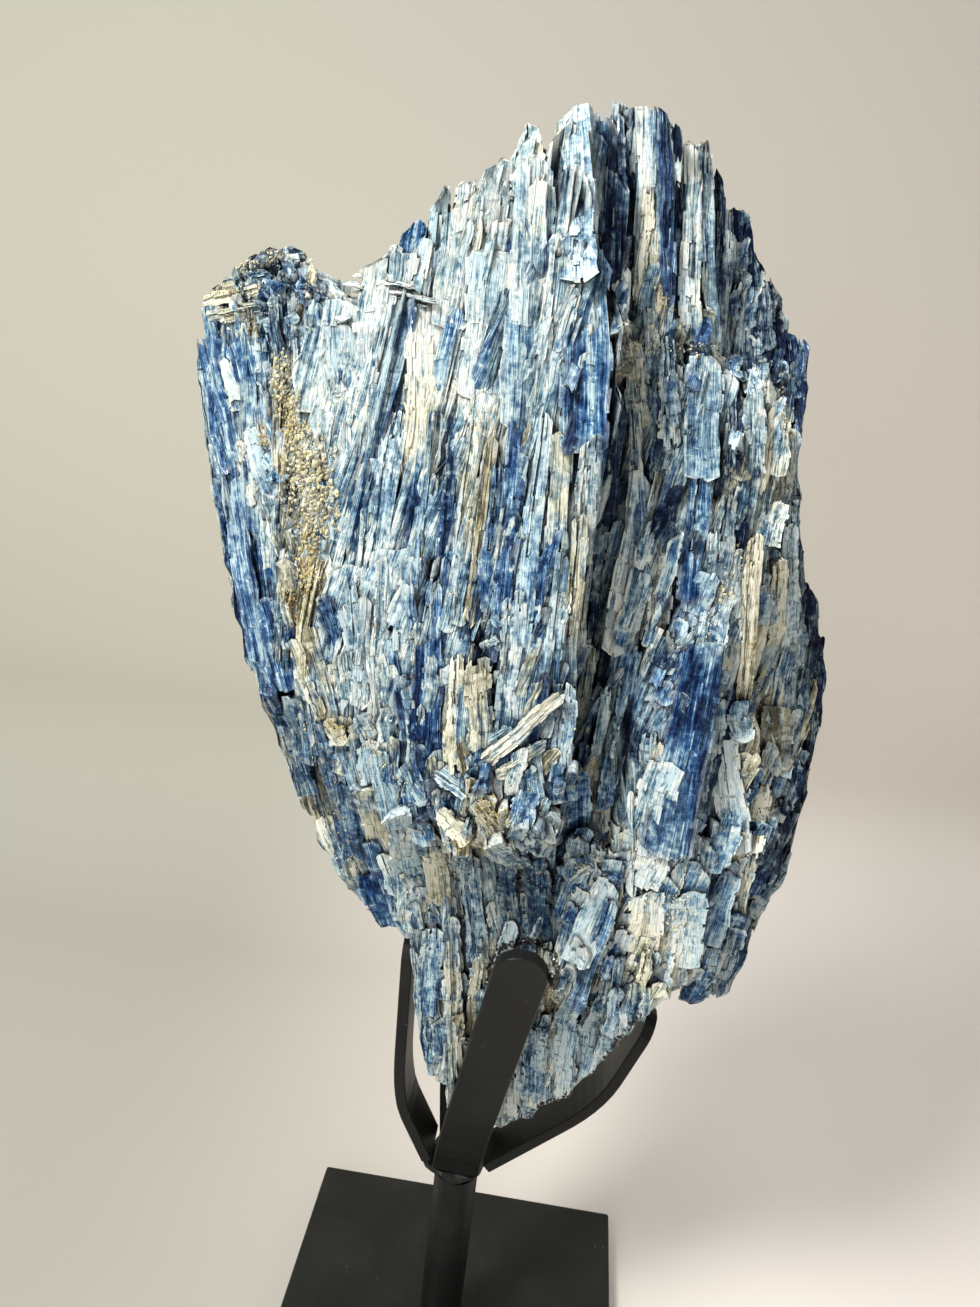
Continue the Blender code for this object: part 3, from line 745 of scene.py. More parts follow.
# Crevices, in points of the picture: the line, how wide, and how deep in mm
crevices = (
    (((556, 168), (558, 200), (566, 222), (575, 238), (604, 258), (609, 300), (606, 370), (600, 440)), 9, 5),
    (((472, 598), (488, 650), (488, 722)), 9, 4.5), (((592, 590), (600, 640)), 7, 4),
    (((640, 650), (630, 700), (618, 800)), 8, 5), (((598, 735), (585, 822)), 7, 3.5),
    (((656, 478), (662, 532)), 8, 4), (((720, 385), (716, 500)), 5, 3), (((734, 395), (732, 470)), 4, 3),
    (((246, 358), (256, 402)), 4, 2.5), (((222, 520), (230, 548)), 4, 2), (((612, 440), (600, 500)), 8, 3),
    (((618, 120), (614, 250)), 7, 2.5), (((700, 240), (700, 335)), 4, 2),
    (((278, 352), (290, 430), (305, 600)), 15, 1.6), (((368, 470), (354, 545)), 4, 1.6),
    (((442, 448), (443, 482)), 3, 2), (((464, 520), (465, 562)), 3, 2), (((450, 560), (432, 596)), 4, 2.5),
    (((730, 690), (728, 760)), 5, 3), (((795, 700), (780, 860)), 6, 3),
)


def carve(pieces, lines):
    for piece in pieces:
        points = pointsOf(piece.data)
        seen = seenAt(points)
        near = points[:, 1] < 0.02
        cut = np.zeros(len(points))
        for line, wide, deep in lines:
            for start, end in zip(line, line[1:]):
                off = gapTo(seen, start, end)[1]
                cut = np.maximum(cut, np.sqrt(np.clip(1 - off / wide, 0, 1)) * deep * near)
        away = points - viewPlace
        away /= np.linalg.norm(away, axis=1)[:, None]
        setPoints(piece.data, points + away * cut[:, None] * mm)


# The stone's outline in the picture, in its points
outline = (
    (198, 345), (205, 292), (232, 268), (262, 252), (297, 245), (310, 262), (338, 288), (368, 266), (392, 248),
    (420, 218), (447, 188), (480, 178), (510, 150), (527, 125), (553, 126), (575, 108), (605, 103), (640, 104),
    (662, 107), (690, 138), (712, 150), (722, 180), (735, 205), (752, 220), (758, 255), (775, 290), (790, 330),
    (808, 345), (810, 380), (802, 430), (794, 470), (800, 510), (803, 560), (820, 620), (827, 680), (818, 735),
    (803, 800), (780, 880), (755, 915), (745, 950), (722, 1000), (690, 1003), (655, 985), (642, 1020), (605, 1060),
    (570, 1095), (500, 1130), (480, 1140), (437, 1100), (425, 1060), (418, 1020), (410, 960), (400, 930), (375, 920),
    (345, 880), (320, 840), (300, 800), (283, 745), (258, 690), (245, 660), (235, 600), (222, 540), (212, 480),
    (203, 400),
)
# How far the fibres are drawn aside at each height of the picture, so that they lean as there
asideSteps = ((300, 360, 420, 560, 700, 750, 900), (0, -3, -10, -30, -48, -48, 0))


def leanOver(pieces, steps, line, margin):
    heights = np.arange(60, 1160)
    left, right = np.full(len(heights), 2000.0), np.full(len(heights), -2000.0)
    for (x0, y0), (x1, y1) in zip(line, line[1:] + line[:1]):
        if y0 != y1:
            held = (heights - y0) * (heights - y1) <= 0
            cross = x0 + (x1 - x0) * (heights[held] - y0) / (y1 - y0)
            left[held], right[held] = np.minimum(left[held], cross), np.maximum(right[held], cross)
    for piece in pieces:
        points = pointsOf(piece.data)
        x, y = seenAt(points).T
        inner = np.minimum(x - np.interp(y, heights, left), np.interp(y, heights, right) - x)
        inner = np.clip(inner / margin, 0, 1)
        aside = np.interp(y, *steps) * inner * inner * (3 - 2 * inner) * (points[:, 1] < 0.03)
        depth = (points - viewPlace) @ viewRows[2]
        setPoints(piece.data, points + viewRows[0] * (aside * depth / focal)[:, None])


leanOver(stonePieces, asideSteps, outline, 130.0)
carve(stonePieces, crevices)


def skinOf(pieces):
    corners, faces = [], []
    for piece in pieces:
        count = len(corners)
        corners += [tuple(point) for point in pointsOf(piece.data)]
        faces += [[count + corner for corner in face.vertices] for face in piece.data.polygons]
    return BVHTree.FromPolygons(corners, faces)


def touch(skin, x, y):
    # how deep the stone lies at this point of the picture, and which way it faces there
    ray = rayAt(x, y)
    hit, normal, face, far = skin.ray_cast(Vector(viewPlace), Vector(ray).normalized())
    if hit is None or hit.y > 0.03:
        return None
    return far / np.linalg.norm(ray), np.array(normal)


# Crystals seen in the picture: kind, foot x and y, head x and y, width, all in points of the picture,
# then how thick and how far proud in tenths of a mm, and how blue, pale, tan and dark in tenths;
# the pale of the upper-left plates is partly painted sheen, and the dark partly painted shade
drawnCrystals = (
    ("lath", 228, 470, 203, 345, 18, 30, 5, 6, 2, 0, 0), ("lath", 246, 650, 224, 510, 16, 30, 5, 8, 0, 0, 2),
    ("slab", 264, 662, 236, 520, 28, 25, 3, 6, 1, 0, 0), ("slab", 242, 460, 216, 360, 22, 25, 4, 5, 0, 0, 1),
    ("slab", 262, 420, 242, 335, 24, 25, 3, 2, 3, 3, 0), ("slab", 276, 500, 252, 430, 26, 25, 4, 1, 3, 1, 1),
    ("slab", 290, 690, 264, 600, 26, 25, 5, 4, 1, 0, 0), ("chip", 280, 482, 268, 455, 18, 20, 6, 3, 1, 0, 2),
    ("slab", 318, 700, 296, 640, 26, 20, 5, 2, 3, 2, 0), ("slab", 342, 652, 324, 600, 22, 20, 6, 6, 1, 0, 1),
    ("slab", 368, 682, 346, 604, 24, 20, 3, 1, 4, 1, 0), ("slab", 338, 540, 328, 350, 30, 20, 2, 4, 3, 0, 0),
    ("slab", 352, 420, 340, 326, 34, 20, 4, 4, 3, 0, 0), ("chip", 206, 302, 262, 289, 13, 40, 8, 0, 3, 8, 0),
    ("chip", 210, 318, 262, 308, 13, 40, 6, 0, 3, 5, 1), ("chip", 224, 286, 272, 273, 13, 40, 6, 0, 2, 4, 3),
    ("chip", 240, 273, 300, 262, 13, 40, 6, 0, 1, 2, 5), ("chip", 260, 260, 302, 251, 13, 40, 4, 1, 0, 0, 6),
    ("chip", 262, 326, 300, 319, 13, 30, 5, 3, 2, 0, 2), ("chip", 258, 302, 282, 284, 16, 30, 6, 9, 0, 0, 4),
    ("chip", 306, 297, 312, 262, 10, 30, 8, 0, 5, 8, 0), ("chip", 322, 302, 312, 268, 16, 30, 5, 0, 0, 1, 6),
    ("chip", 346, 322, 328, 282, 16, 30, 4, 0, 2, 4, 4), ("slab", 376, 372, 392, 252, 50, 20, 9, 1, 6, 0, 0, -30),
    ("slab", 405, 288, 416, 210, 26, 20, 6, 3, 5, 0, 1), ("lath", 432, 300, 442, 187, 18, 20, 5, 1, 7, 0, 1),
    ("slab", 448, 330, 464, 206, 38, 20, 9, 1, 9, 0, 0), ("lath", 461, 262, 468, 182, 18, 20, 4, 0, 8, 0, 0),
    ("slab", 488, 240, 498, 161, 34, 20, 5, 1, 8, 0, 0), ("slab", 478, 400, 491, 252, 40, 20, 10, 2, 8, 0, 0),
    ("slab", 522, 430, 536, 160, 48, 20, 14, 3, 3.5, 0, 0, 20),
    ("slab", 584, 455, 586, 246, 42, 20, 20, 3, 2.5, 1, 0, 40),
    ("lath", 524, 200, 531, 122, 26, 20, 6, 1, 7, 0, 0, 15), ("lath", 580, 280, 576, 110, 34, 20, 8, 3, 4, 0, 1, -20),
    ("slab", 425, 470, 430, 302, 46, 20, 3, 0, 3, 1, 1), ("lath", 352, 545, 405, 300, 13, 20, 8, 6, 3, 0, 1),
    ("lath", 392, 560, 412, 380, 20, 20, 5, 0, 3, 3, 0), ("lath", 372, 590, 398, 420, 20, 20, 5, 1, 4, 1, 0),
    ("lath", 418, 600, 436, 420, 18, 20, 5, 1, 3, 2, 0), ("lath", 440, 640, 458, 400, 14, 20, 6, 8, 3, 0, 0),
    ("lath", 460, 560, 480, 400, 16, 20, 4, 2, 3, 5, 0), ("lath", 470, 620, 492, 440, 12, 20, 7, 1, 3, 9, 0),
    ("lath", 500, 620, 520, 430, 18, 20, 4, 8, 1, 0, 2), ("lath", 486, 600, 500, 470, 16, 20, 3, 5, 1, 0, 3),
    ("lath", 520, 640, 545, 420, 20, 20, 4, 5, 2, 0, 2), ("lath", 552, 620, 562, 440, 24, 20, 5, 1, 4, 4, 0),
    ("lath", 546, 720, 562, 560, 20, 20, 5, 3, 3, 0, 2), ("lath", 565, 700, 580, 520, 16, 20, 7, 1, 4, 5, 0),
    ("lath", 576, 640, 592, 445, 18, 20, 3, 0, 2, 2, 3), ("lath", 400, 722, 411, 560, 24, 20, 4, 4, 4, 0, 0),
    ("lath", 376, 732, 385, 560, 18, 20, 4, 2, 5, 1, 0), ("slab", 424, 742, 430, 640, 32, 20, 4, 8, 1, 0, 2),
    ("lath", 360, 702, 366, 600, 16, 20, 4, 1, 6, 1, 0), ("lath", 455, 762, 458, 660, 20, 20, 5, 0, 4, 7, 0),
    ("lath", 480, 742, 477, 662, 24, 30, 14, 0, 5, 3, 0), ("chip", 484, 650, 502, 640, 15, 30, 12, 2, 4, 0, 2),
    ("chip", 480, 629, 502, 620, 12, 30, 8, 2, 3, 0, 3), ("lath", 505, 742, 515, 600, 20, 20, 3, 4, 2, 0, 4),
    ("lath", 528, 692, 540, 560, 18, 20, 4, 8, 1, 0, 3), ("slab", 486, 760, 563, 692, 16, 30, 20, 0, 9, 3, 0),
    ("chip", 498, 776, 546, 742, 13, 20, 13, 0, 7, 5, 0), ("chip", 520, 796, 557, 748, 14, 20, 9, 0, 4, 7, 1),
    ("chip", 476, 750, 512, 728, 11, 20, 12, 0, 7, 0, 0), ("chip", 468, 772, 502, 750, 13, 20, 9, 1, 7, 1, 0),
    ("slab", 516, 832, 530, 790, 26, 25, 10, 4, 4, 1, 0), ("slab", 572, 842, 575, 778, 30, 30, 18, 8, 3, 0, 0),
    ("chip", 600, 842, 598, 762, 20, 30, 12, 1, 3, 6, 0), ("lath", 560, 782, 566, 690, 20, 25, 10, 0, 5, 4, 0),
    ("lath", 350, 284, 432, 300, 5, 15, 9, 2, 9, 0, 0), ("lath", 356, 292, 425, 306, 4, 15, 8, 3, 8, 0, 0),
    ("lath", 362, 277, 412, 288, 4, 15, 9, 2, 8, 0, 0), ("chip", 574, 880, 592, 864, 9, 20, 8, 0, 7, 0, 0),
    ("chip", 585, 792, 600, 752, 15, 25, 16, 0, 6, 7, 0), ("lath", 612, 300, 618, 120, 18, 30, -3, 2, 0, 0, 9),
    ("lath", 632, 300, 638, 112, 18, 30, 2, 1, 1, 1, 5), ("lath", 638, 300, 650, 195, 12, 20, 10, 0, 9, 5, 0),
    ("lath", 655, 290, 656, 112, 9, 20, 8, 0, 6, 1, 1), ("lath", 668, 296, 664, 114, 12, 25, 11, 15, 0, 0, 3),
    ("lath", 680, 250, 676, 130, 8, 20, 3, 3, 0, 0, 7), ("lath", 688, 340, 692, 152, 20, 25, 10, 1, 6, 1, 0),
    ("lath", 712, 345, 706, 156, 14, 25, 6, 3, 4, 1, 2), ("lath", 724, 310, 718, 174, 8, 25, 2, 2, 0, 0, 7),
    ("chip", 738, 300, 735, 207, 16, 30, 2, 3, 0, 0, 8), ("chip", 752, 300, 749, 224, 14, 30, 3, 4, 0, 0, 7),
    ("chip", 766, 350, 761, 279, 18, 30, 2, 2, 0, 1, 8), ("chip", 780, 376, 775, 304, 16, 30, 2, 2, 0, 0, 8),
    ("chip", 795, 400, 789, 334, 18, 30, 3, 5, 0, 0, 6), ("lath", 800, 450, 803, 344, 14, 30, 4, 12, 0, 0, 4),
    ("chip", 748, 390, 748, 290, 18, 30, 0, 2, 0, 0, 9), ("lath", 672, 440, 668, 345, 20, 30, 15, 3, 4, 0, 1),
    ("lath", 640, 430, 632, 345, 20, 30, 9, 0, 3, 5, 2), ("slab", 700, 480, 706, 358, 36, 30, 18, 2, 5, 0, 0),
    ("slab", 712, 374, 700, 342, 28, 30, 11, 1, 4, 3, 0), ("lath", 652, 380, 650, 318, 16, 30, 8, 1, 3, 3, 2),
    ("lath", 625, 386, 620, 328, 16, 30, 5, 0, 1, 4, 5), ("slab", 752, 476, 754, 392, 24, 30, 16, 3, 1, 0, 0),
    ("lath", 738, 466, 738, 398, 8, 30, 4, 0, 1, 0, 8), ("slab", 779, 476, 782, 418, 16, 30, 13, 0, 7, 4, 0),
    ("lath", 730, 476, 732, 378, 9, 30, 6, 0, 0, 0, 8), ("chip", 758, 400, 744, 373, 16, 30, 8, 1, 3, 1, 3),
    ("lath", 641, 560, 634, 415, 14, 30, 9, 0, 5, 4, 1), ("lath", 658, 480, 662, 395, 14, 30, 5, 8, 1, 0, 3),
    ("lath", 674, 480, 674, 380, 12, 30, 6, 7, 3, 0, 1), ("lath", 605, 560, 612, 430, 20, 30, 0, 5, 0, 0, 8),
    ("lath", 612, 650, 642, 478, 20, 30, 18, 1, 7, 1, 0), ("lath", 598, 640, 606, 540, 20, 30, 3, 4, 1, 0, 4),
    ("lath", 655, 640, 668, 520, 20, 30, 6, 0, 2, 4, 5), ("lath", 688, 600, 702, 470, 22, 30, 9, 4, 4, 0, 1),
    ("lath", 715, 600, 728, 500, 22, 30, 5, 2, 2, 1, 6), ("lath", 742, 722, 755, 540, 14, 30, 18, 0, 2, 9, 1),
    ("lath", 776, 642, 778, 560, 16, 30, 13, 0, 4, 6, 0), ("lath", 790, 662, 789, 530, 16, 30, 8, 4, 3, 0, 0),
    ("slab", 762, 546, 775, 503, 28, 30, 15, 1, 3, 1, 0), ("slab", 708, 652, 722, 592, 26, 30, 8, 0, 5, 3, 0),
    ("slab", 664, 852, 708, 640, 48, 40, 28, 6, 3, 0, 0), ("slab", 640, 852, 668, 760, 36, 30, 18, 1, 6, 0, 0),
    ("lath", 604, 802, 634, 650, 16, 30, 20, 6, 4, 0, 0), ("lath", 590, 802, 606, 690, 10, 30, 11, 3, 4, 0, 0),
    ("lath", 641, 802, 651, 735, 14, 30, 10, 4, 3, 1, 2), ("lath", 575, 762, 590, 650, 16, 30, 8, 1, 4, 2, 1),
    ("slab", 735, 852, 722, 740, 30, 30, 17, 2, 7, 0, 0), ("chip", 742, 742, 738, 702, 22, 30, 20, 1, 7, 0, 0),
    ("chip", 776, 756, 776, 704, 26, 40, 14, 0, 0, 4, 5), ("lath", 720, 862, 740, 790, 22, 30, 10, 4, 3, 0, 2),
    ("lath", 752, 852, 760, 790, 18, 30, 10, 0, 4, 4, 2), ("lath", 811, 652, 804, 588, 18, 30, 5, 2, 0, 0, 8),
    ("lath", 818, 722, 820, 642, 12, 30, 3, 3, 0, 0, 8), ("lath", 806, 800, 812, 712, 12, 30, 5, 1, 0, 0, 9),
    ("lath", 788, 862, 798, 762, 14, 30, 5, 3, 0, 0, 7), ("lath", 768, 880, 786, 800, 14, 30, 5, 1, 1, 1, 6),
    ("slab", 575, 962, 610, 880, 30, 30, 22, 3, 6, 0, 0), ("lath", 576, 1002, 612, 900, 16, 30, 16, 6, 4, 0, 0),
    ("lath", 600, 1012, 625, 930, 16, 30, 13, 3, 4, 1, 0), ("slab", 640, 882, 660, 840, 36, 30, 15, 1, 6, 1, 0),
    ("slab", 640, 952, 650, 890, 36, 30, 16, 0, 6, 4, 0), ("slab", 680, 962, 690, 890, 36, 30, 18, 1, 8, 4, 0),
    ("slab", 705, 942, 730, 870, 30, 30, 18, 3, 6, 0, 0), ("slab", 735, 912, 750, 850, 18, 30, 10, 0, 5, 5, 2),
    ("lath", 714, 990, 738, 915, 20, 30, 6, 6, 0, 0, 6), ("lath", 690, 1000, 714, 940, 18, 30, 6, 5, 1, 0, 5),
    ("lath", 660, 990, 668, 950, 14, 30, 8, 3, 5, 2, 1), ("lath", 640, 992, 648, 950, 12, 30, 10, 0, 6, 4, 0),
    ("chip", 560, 1032, 580, 985, 18, 30, 15, 1, 6, 0, 0), ("chip", 585, 1042, 602, 1000, 16, 30, 13, 3, 5, 0, 0),
    ("chip", 610, 1032, 618, 985, 14, 30, 13, 4, 4, 0, 1), ("chip", 560, 1090, 575, 1030, 14, 30, 10, 2, 5, 1, 0),
    ("chip", 584, 1074, 598, 1030, 12, 30, 10, 3, 4, 1, 1), ("slab", 302, 792, 274, 702, 30, 30, 10, 5, 1, 3, 0),
    ("slab", 286, 742, 264, 692, 20, 30, 10, 7, 0, 4, 1), ("slab", 330, 852, 310, 762, 28, 30, 12, 4, 1, 3, 0),
    ("slab", 350, 842, 327, 747, 20, 30, 17, 3, 3, 5, 0), ("slab", 345, 876, 324, 812, 26, 30, 14, 3, 3, 4, 0),
    ("slab", 362, 862, 350, 780, 30, 30, 18, 6, 1, 2, 1), ("slab", 376, 782, 366, 740, 26, 30, 18, 4, 4, 1, 0),
    ("slab", 392, 822, 376, 747, 20, 30, 14, 1, 3, 3, 3), ("slab", 372, 890, 352, 850, 34, 30, 18, 3, 2, 5, 0),
    ("slab", 394, 926, 370, 872, 34, 30, 18, 6, 1, 1, 3), ("slab", 410, 872, 396, 810, 26, 30, 20, 1, 6, 3, 0),
    ("slab", 425, 842, 405, 770, 20, 30, 20, 3, 6, 1, 0), ("chip", 398, 892, 385, 850, 18, 30, 18, 1, 6, 4, 0),
    ("chip", 343, 742, 328, 718, 16, 30, 18, 0, 4, 6, 0), ("chip", 372, 742, 358, 712, 18, 30, 17, 0, 1, 3, 5),
    ("chip", 470, 792, 440, 770, 22, 30, 12, 1, 3, 0, 0), ("chip", 430, 802, 402, 766, 20, 30, 12, 3, 3, 0, 0),
    ("chip", 500, 832, 476, 800, 22, 30, 12, 0, 4, 5, 0), ("chip", 470, 842, 440, 810, 20, 30, 16, 0, 4, 5, 2),
    ("chip", 520, 862, 490, 840, 22, 30, 20, 1, 6, 0, 0), ("slab", 440, 902, 430, 820, 22, 20, 6, 0, 3, 5, 3),
    ("lath", 424, 1060, 433, 930, 20, 30, 9, 4, 6, 0, 0), ("lath", 455, 1082, 450, 900, 16, 30, 5, 0, 5, 4, 1),
    ("lath", 480, 962, 470, 860, 20, 30, 5, 3, 3, 2, 2), ("lath", 510, 936, 505, 850, 22, 30, 5, 3, 1, 0, 4),
    ("lath", 540, 936, 535, 850, 22, 30, 5, 3, 1, 0, 5), ("lath", 468, 1060, 478, 960, 12, 30, 8, 0, 4, 8, 0),
    ("chip", 500, 936, 490, 900, 16, 30, 9, 1, 5, 2, 0), ("lath", 455, 1122, 462, 1040, 18, 40, 6, 1, 4, 2, 0),
    ("lath", 478, 1138, 482, 1050, 20, 40, 6, 0, 3, 3, 1), ("lath", 505, 1124, 512, 1040, 20, 40, 6, 1, 4, 2, 1),
    ("lath", 530, 1112, 538, 1030, 20, 40, 6, 2, 3, 0, 1), ("slab", 556, 1098, 568, 1020, 22, 40, 8, 1, 5, 2, 0),
    ("slab", 582, 1086, 596, 1000, 22, 40, 8, 4, 3, 0, 0), ("slab", 604, 1062, 618, 990, 20, 40, 8, 2, 5, 1, 0),
    ("slab", 626, 1040, 634, 980, 18, 40, 8, 1, 6, 0, 0), ("chip", 646, 1022, 650, 985, 16, 40, 6, 2, 4, 1, 1),
)
drawnValues = {"seed": 21, "upright": 0.45, "twist": 0.6, "edge": -0.004, "proud": 0.65, "sunk": 0.0012}


def layDrawn(table, skin, values, always=False):
    # each crystal follows the skin below it; one that finds none is left out, or laid on the stone's edge
    chance = random.Random(values["seed"])
    made = []
    for number, row in enumerate(table):
        kind, x0, y0, x1, y1, wide, thick, proud, *tint = row[:12]
        beyond = chance.uniform(0, 7)
        while math.dist((x0, y0), (x1, y1)) > 12:
            far = 1 - beyond / math.dist((x0, y0), (x1, y1))
            if insideLine(x0 + (x1 - x0) * far, y0 + (y1 - y0) * far, outline):
                break
            x1, y1 = x0 + (x1 - x0) * 0.94, y0 + (y1 - y0) * 0.94
        shares, depths, facing = [], [], np.zeros(3)
        for share in (0.08, 0.3, 0.5, 0.7, 0.92):
            for aside in (-0.25, 0, 0.25):
                found = touch(skin, x0 + (x1 - x0) * share + wide * aside, y0 + (y1 - y0) * share)
                if found:
                    shares.append(share)
                    depths.append(found[0])
                    facing += found[1]
        if len(depths) < 4 and not always:
            continue
        if len(depths) < 4:
            edge = [(values["edge"] - viewPlace[1]) / rayAt(x, y)[1] for x, y in ((x0, y0), (x1, y1))]
            shares, depths, facing = [0, 0.5, 1], [edge[0], sum(edge) / 2, edge[1]], np.array((0, -1.0, 0))
        slope, start = np.polyfit(shares, depths, 1) if len(set(shares)) > 2 else (0.0, np.mean(depths))
        slope = np.clip(slope, -0.02, 0.02)
        start = np.median(np.array(depths) - slope * np.array(shares))
        foot = viewPlace + rayAt(x0, y0) * (start + values["sunk"])
        head = viewPlace + rayAt(x1, y1) * (start + slope)
        along = (head - foot) / np.linalg.norm(head - foot)
        look = viewPlace - (foot + head) / 2
        outward = facing / max(1e-6, np.linalg.norm(facing)) * (1 - values["upright"])
        outward = outward + look / np.linalg.norm(look) * values["upright"]
        outward -= along * (outward @ along)
        outward /= np.linalg.norm(outward)
        across = np.cross(along, outward)
        width = wide * start / focal / mm
        slant = row[12] if len(row) > 12 else chance.uniform(-0.5, 0.5) * width
        spot = {**plainSpot, "slope": slant, "short": 0.4, "depth": thick + 1.2, "width": width,
                "length": np.linalg.norm(head - foot) / mm, "step": proud * values["proud"],
                "twist": chance.uniform(-1, 1) * values["twist"], "strand": chance.random(),
                "taper": chance.uniform(0.72, 1.0)}
        thing = layLath(f"drawn{number}", chance.choice(lathBlanks[kind]), lathKinds[kind], foot / mm,
                        (along, across, outward), spot)
        addValues(thing.data, "tint", "FLOAT_COLOR", np.tile(tint, (len(thing.data.vertices), 1)))
        made.append(thing)
    return made


# Smaller crystals strewn over the broken parts: an area in points of the picture, how many, their
# length and width there, how proud, and how blue, pale, tan and dark at most; the pale over the
# upper-left plates is partly painted sheen, and the dark on the shaded right edge partly painted shade
strewnAreas = (
    ((400, 770, 600, 930), 90, (18, 60), (7, 20), (0.2, 1.8), (0.7, 0.7, 0.6, 0.6)),
    ((560, 860, 760, 1010), 80, (20, 66), (9, 26), (0.4, 2.2), (0.5, 0.8, 0.5, 0.4)),
    ((420, 930, 640, 1110), 80, (20, 70), (7, 18), (0.2, 1.4), (0.5, 0.6, 0.6, 0.3)),
    ((265, 690, 420, 920), 90, (18, 62), (9, 26), (0.4, 2), (0.7, 0.5, 0.6, 0.4)),
    ((640, 560, 800, 870), 90, (24, 90), (8, 24), (0.2, 2), (0.5, 0.5, 0.6, 0.8)),
    ((345, 380, 640, 640), 90, (80, 200), (8, 20), (-0.1, 0.5), (1, 0.5, 0.4, 0.5)),
    ((330, 600, 640, 790), 60, (40, 130), (6, 16), (0.1, 0.9), (1, 0.6, 0.5, 0.6)),
    ((600, 330, 810, 560), 70, (24, 80), (8, 20), (0.1, 1.8), (0.7, 0.5, 0.5, 0.8)),
    ((215, 260, 335, 345), 60, (10, 36), (6, 16), (0.2, 1.2), (0.4, 0.5, 0.8, 0.7)),
    ((225, 345, 345, 680), 60, (18, 60), (8, 24), (-0.2, 0.7), (0.8, 0.6, 0.5, 0.4)),
    ((350, 250, 560, 420), 24, (50, 130), (5, 12), (0, 0.7), (0.4, 0.9, 0.4, 0.2)),
    ((730, 220, 805, 400), 50, (14, 44), (7, 18), (0.2, 1.4), (0.5, 0.1, 0.2, 1)),
)
# How far the fibres lean from upright, in degrees, at each height and place across the picture
flowPlaces = (240, 300, 360, 420, 480, 540, 600, 660, 720, 780)
flow = (
    (200, (-10, 5, 20, 22, 15, 8, 7, 5, 4, 12)), (320, (-13, -8, 0, 7, 9, 12, 10, 12, 8, 15)),
    (440, (-14, -12, 10, 13, 16, 15, 14, 12, 8, 9)), (600, (-10, -16, 2, 8, 12, 14, 15, 18, 13, 5)),
    (760, (-24, -16, -4, 0, 11, 16, 16, 22, 18, 12)), (920, (-34, -30, -22, -6, 2, 14, 23, 26, 30, 30)),
)


def strew(areas, seed):
    chance = random.Random(seed)
    rows = []
    for (x0, y0, x1, y1), many, longs, wides, prouds, tints in areas:
        for crystal in range(many):
            x, y = chance.uniform(x0, x1), chance.uniform(y0, y1)
            leans = [np.interp(x, flowPlaces, row) for height, row in flow]
            lean = np.interp(y, [height for height, row in flow], leans)
            lean = math.radians(lean + chance.gauss(0, 7 if y > 690 else 3))
            long, wide = chance.uniform(*longs), chance.uniform(*wides)
            tint = [0.0, 0.0, 0.0, 0.0]
            for pick in range(2):
                part = chance.randrange(4)
                tint[part] = chance.uniform(0, tints[part])
            kinds = ("smallslab", "smalllath") if long > 55 else ("smallchip", "smallslab", "smalllath")
            rows.append((chance.choice(kinds), x, y, x + long * math.sin(lean), y - long * math.cos(lean),
                         wide, 2.5, chance.uniform(*prouds), *tint))
    return rows


skin = skinOf(stonePieces)
strewn = layDrawn(strew(strewnAreas, 41), skin, drawnValues)
stonePieces.append(joinAs("strewnLow", strewn[:len(strewn) // 2]))
stonePieces.append(joinAs("strewnHigh", strewn[len(strewn) // 2:]))
skin = skinOf(stonePieces)
drawnRows = [(*row[:6], *(value / 10 for value in row[6:])) for row in drawnCrystals]
stonePieces.append(joinAs("drawnCrystals", layDrawn(drawnRows, skin, drawnValues, True)))
print("crystals laid:", len(strewn), len(drawnRows))


# Grains of matrix and glue: many small knobbly lumps set on the surface
def lumpBlank(name, seed):
    letGo()
    bpy.ops.mesh.primitive_ico_sphere_add(subdivisions=1, radius=0.5)
    lump = bpy.context.object
    lump.name = name
    bpy.ops.object.mode_set(mode="EDIT")
    bpy.ops.mesh.select_all(action="SELECT")
    bpy.ops.transform.vertex_random(offset=0.13, seed=seed)
    bpy.ops.transform.resize(value=(1.0, 0.9, 1.0))
    bpy.ops.mesh.select_all(action="SELECT")
    bpy.ops.mesh.bisect(plane_co=(0, 0.22, 0), plane_no=(0.3, 1, 0.2), clear_outer=True, use_fill=True)
    bpy.ops.object.mode_set(mode="OBJECT")
    lump.hide_render = True
    return lump


lumpBlanks = [lumpBlank(f"lump{number}", number) for number in range(6)]

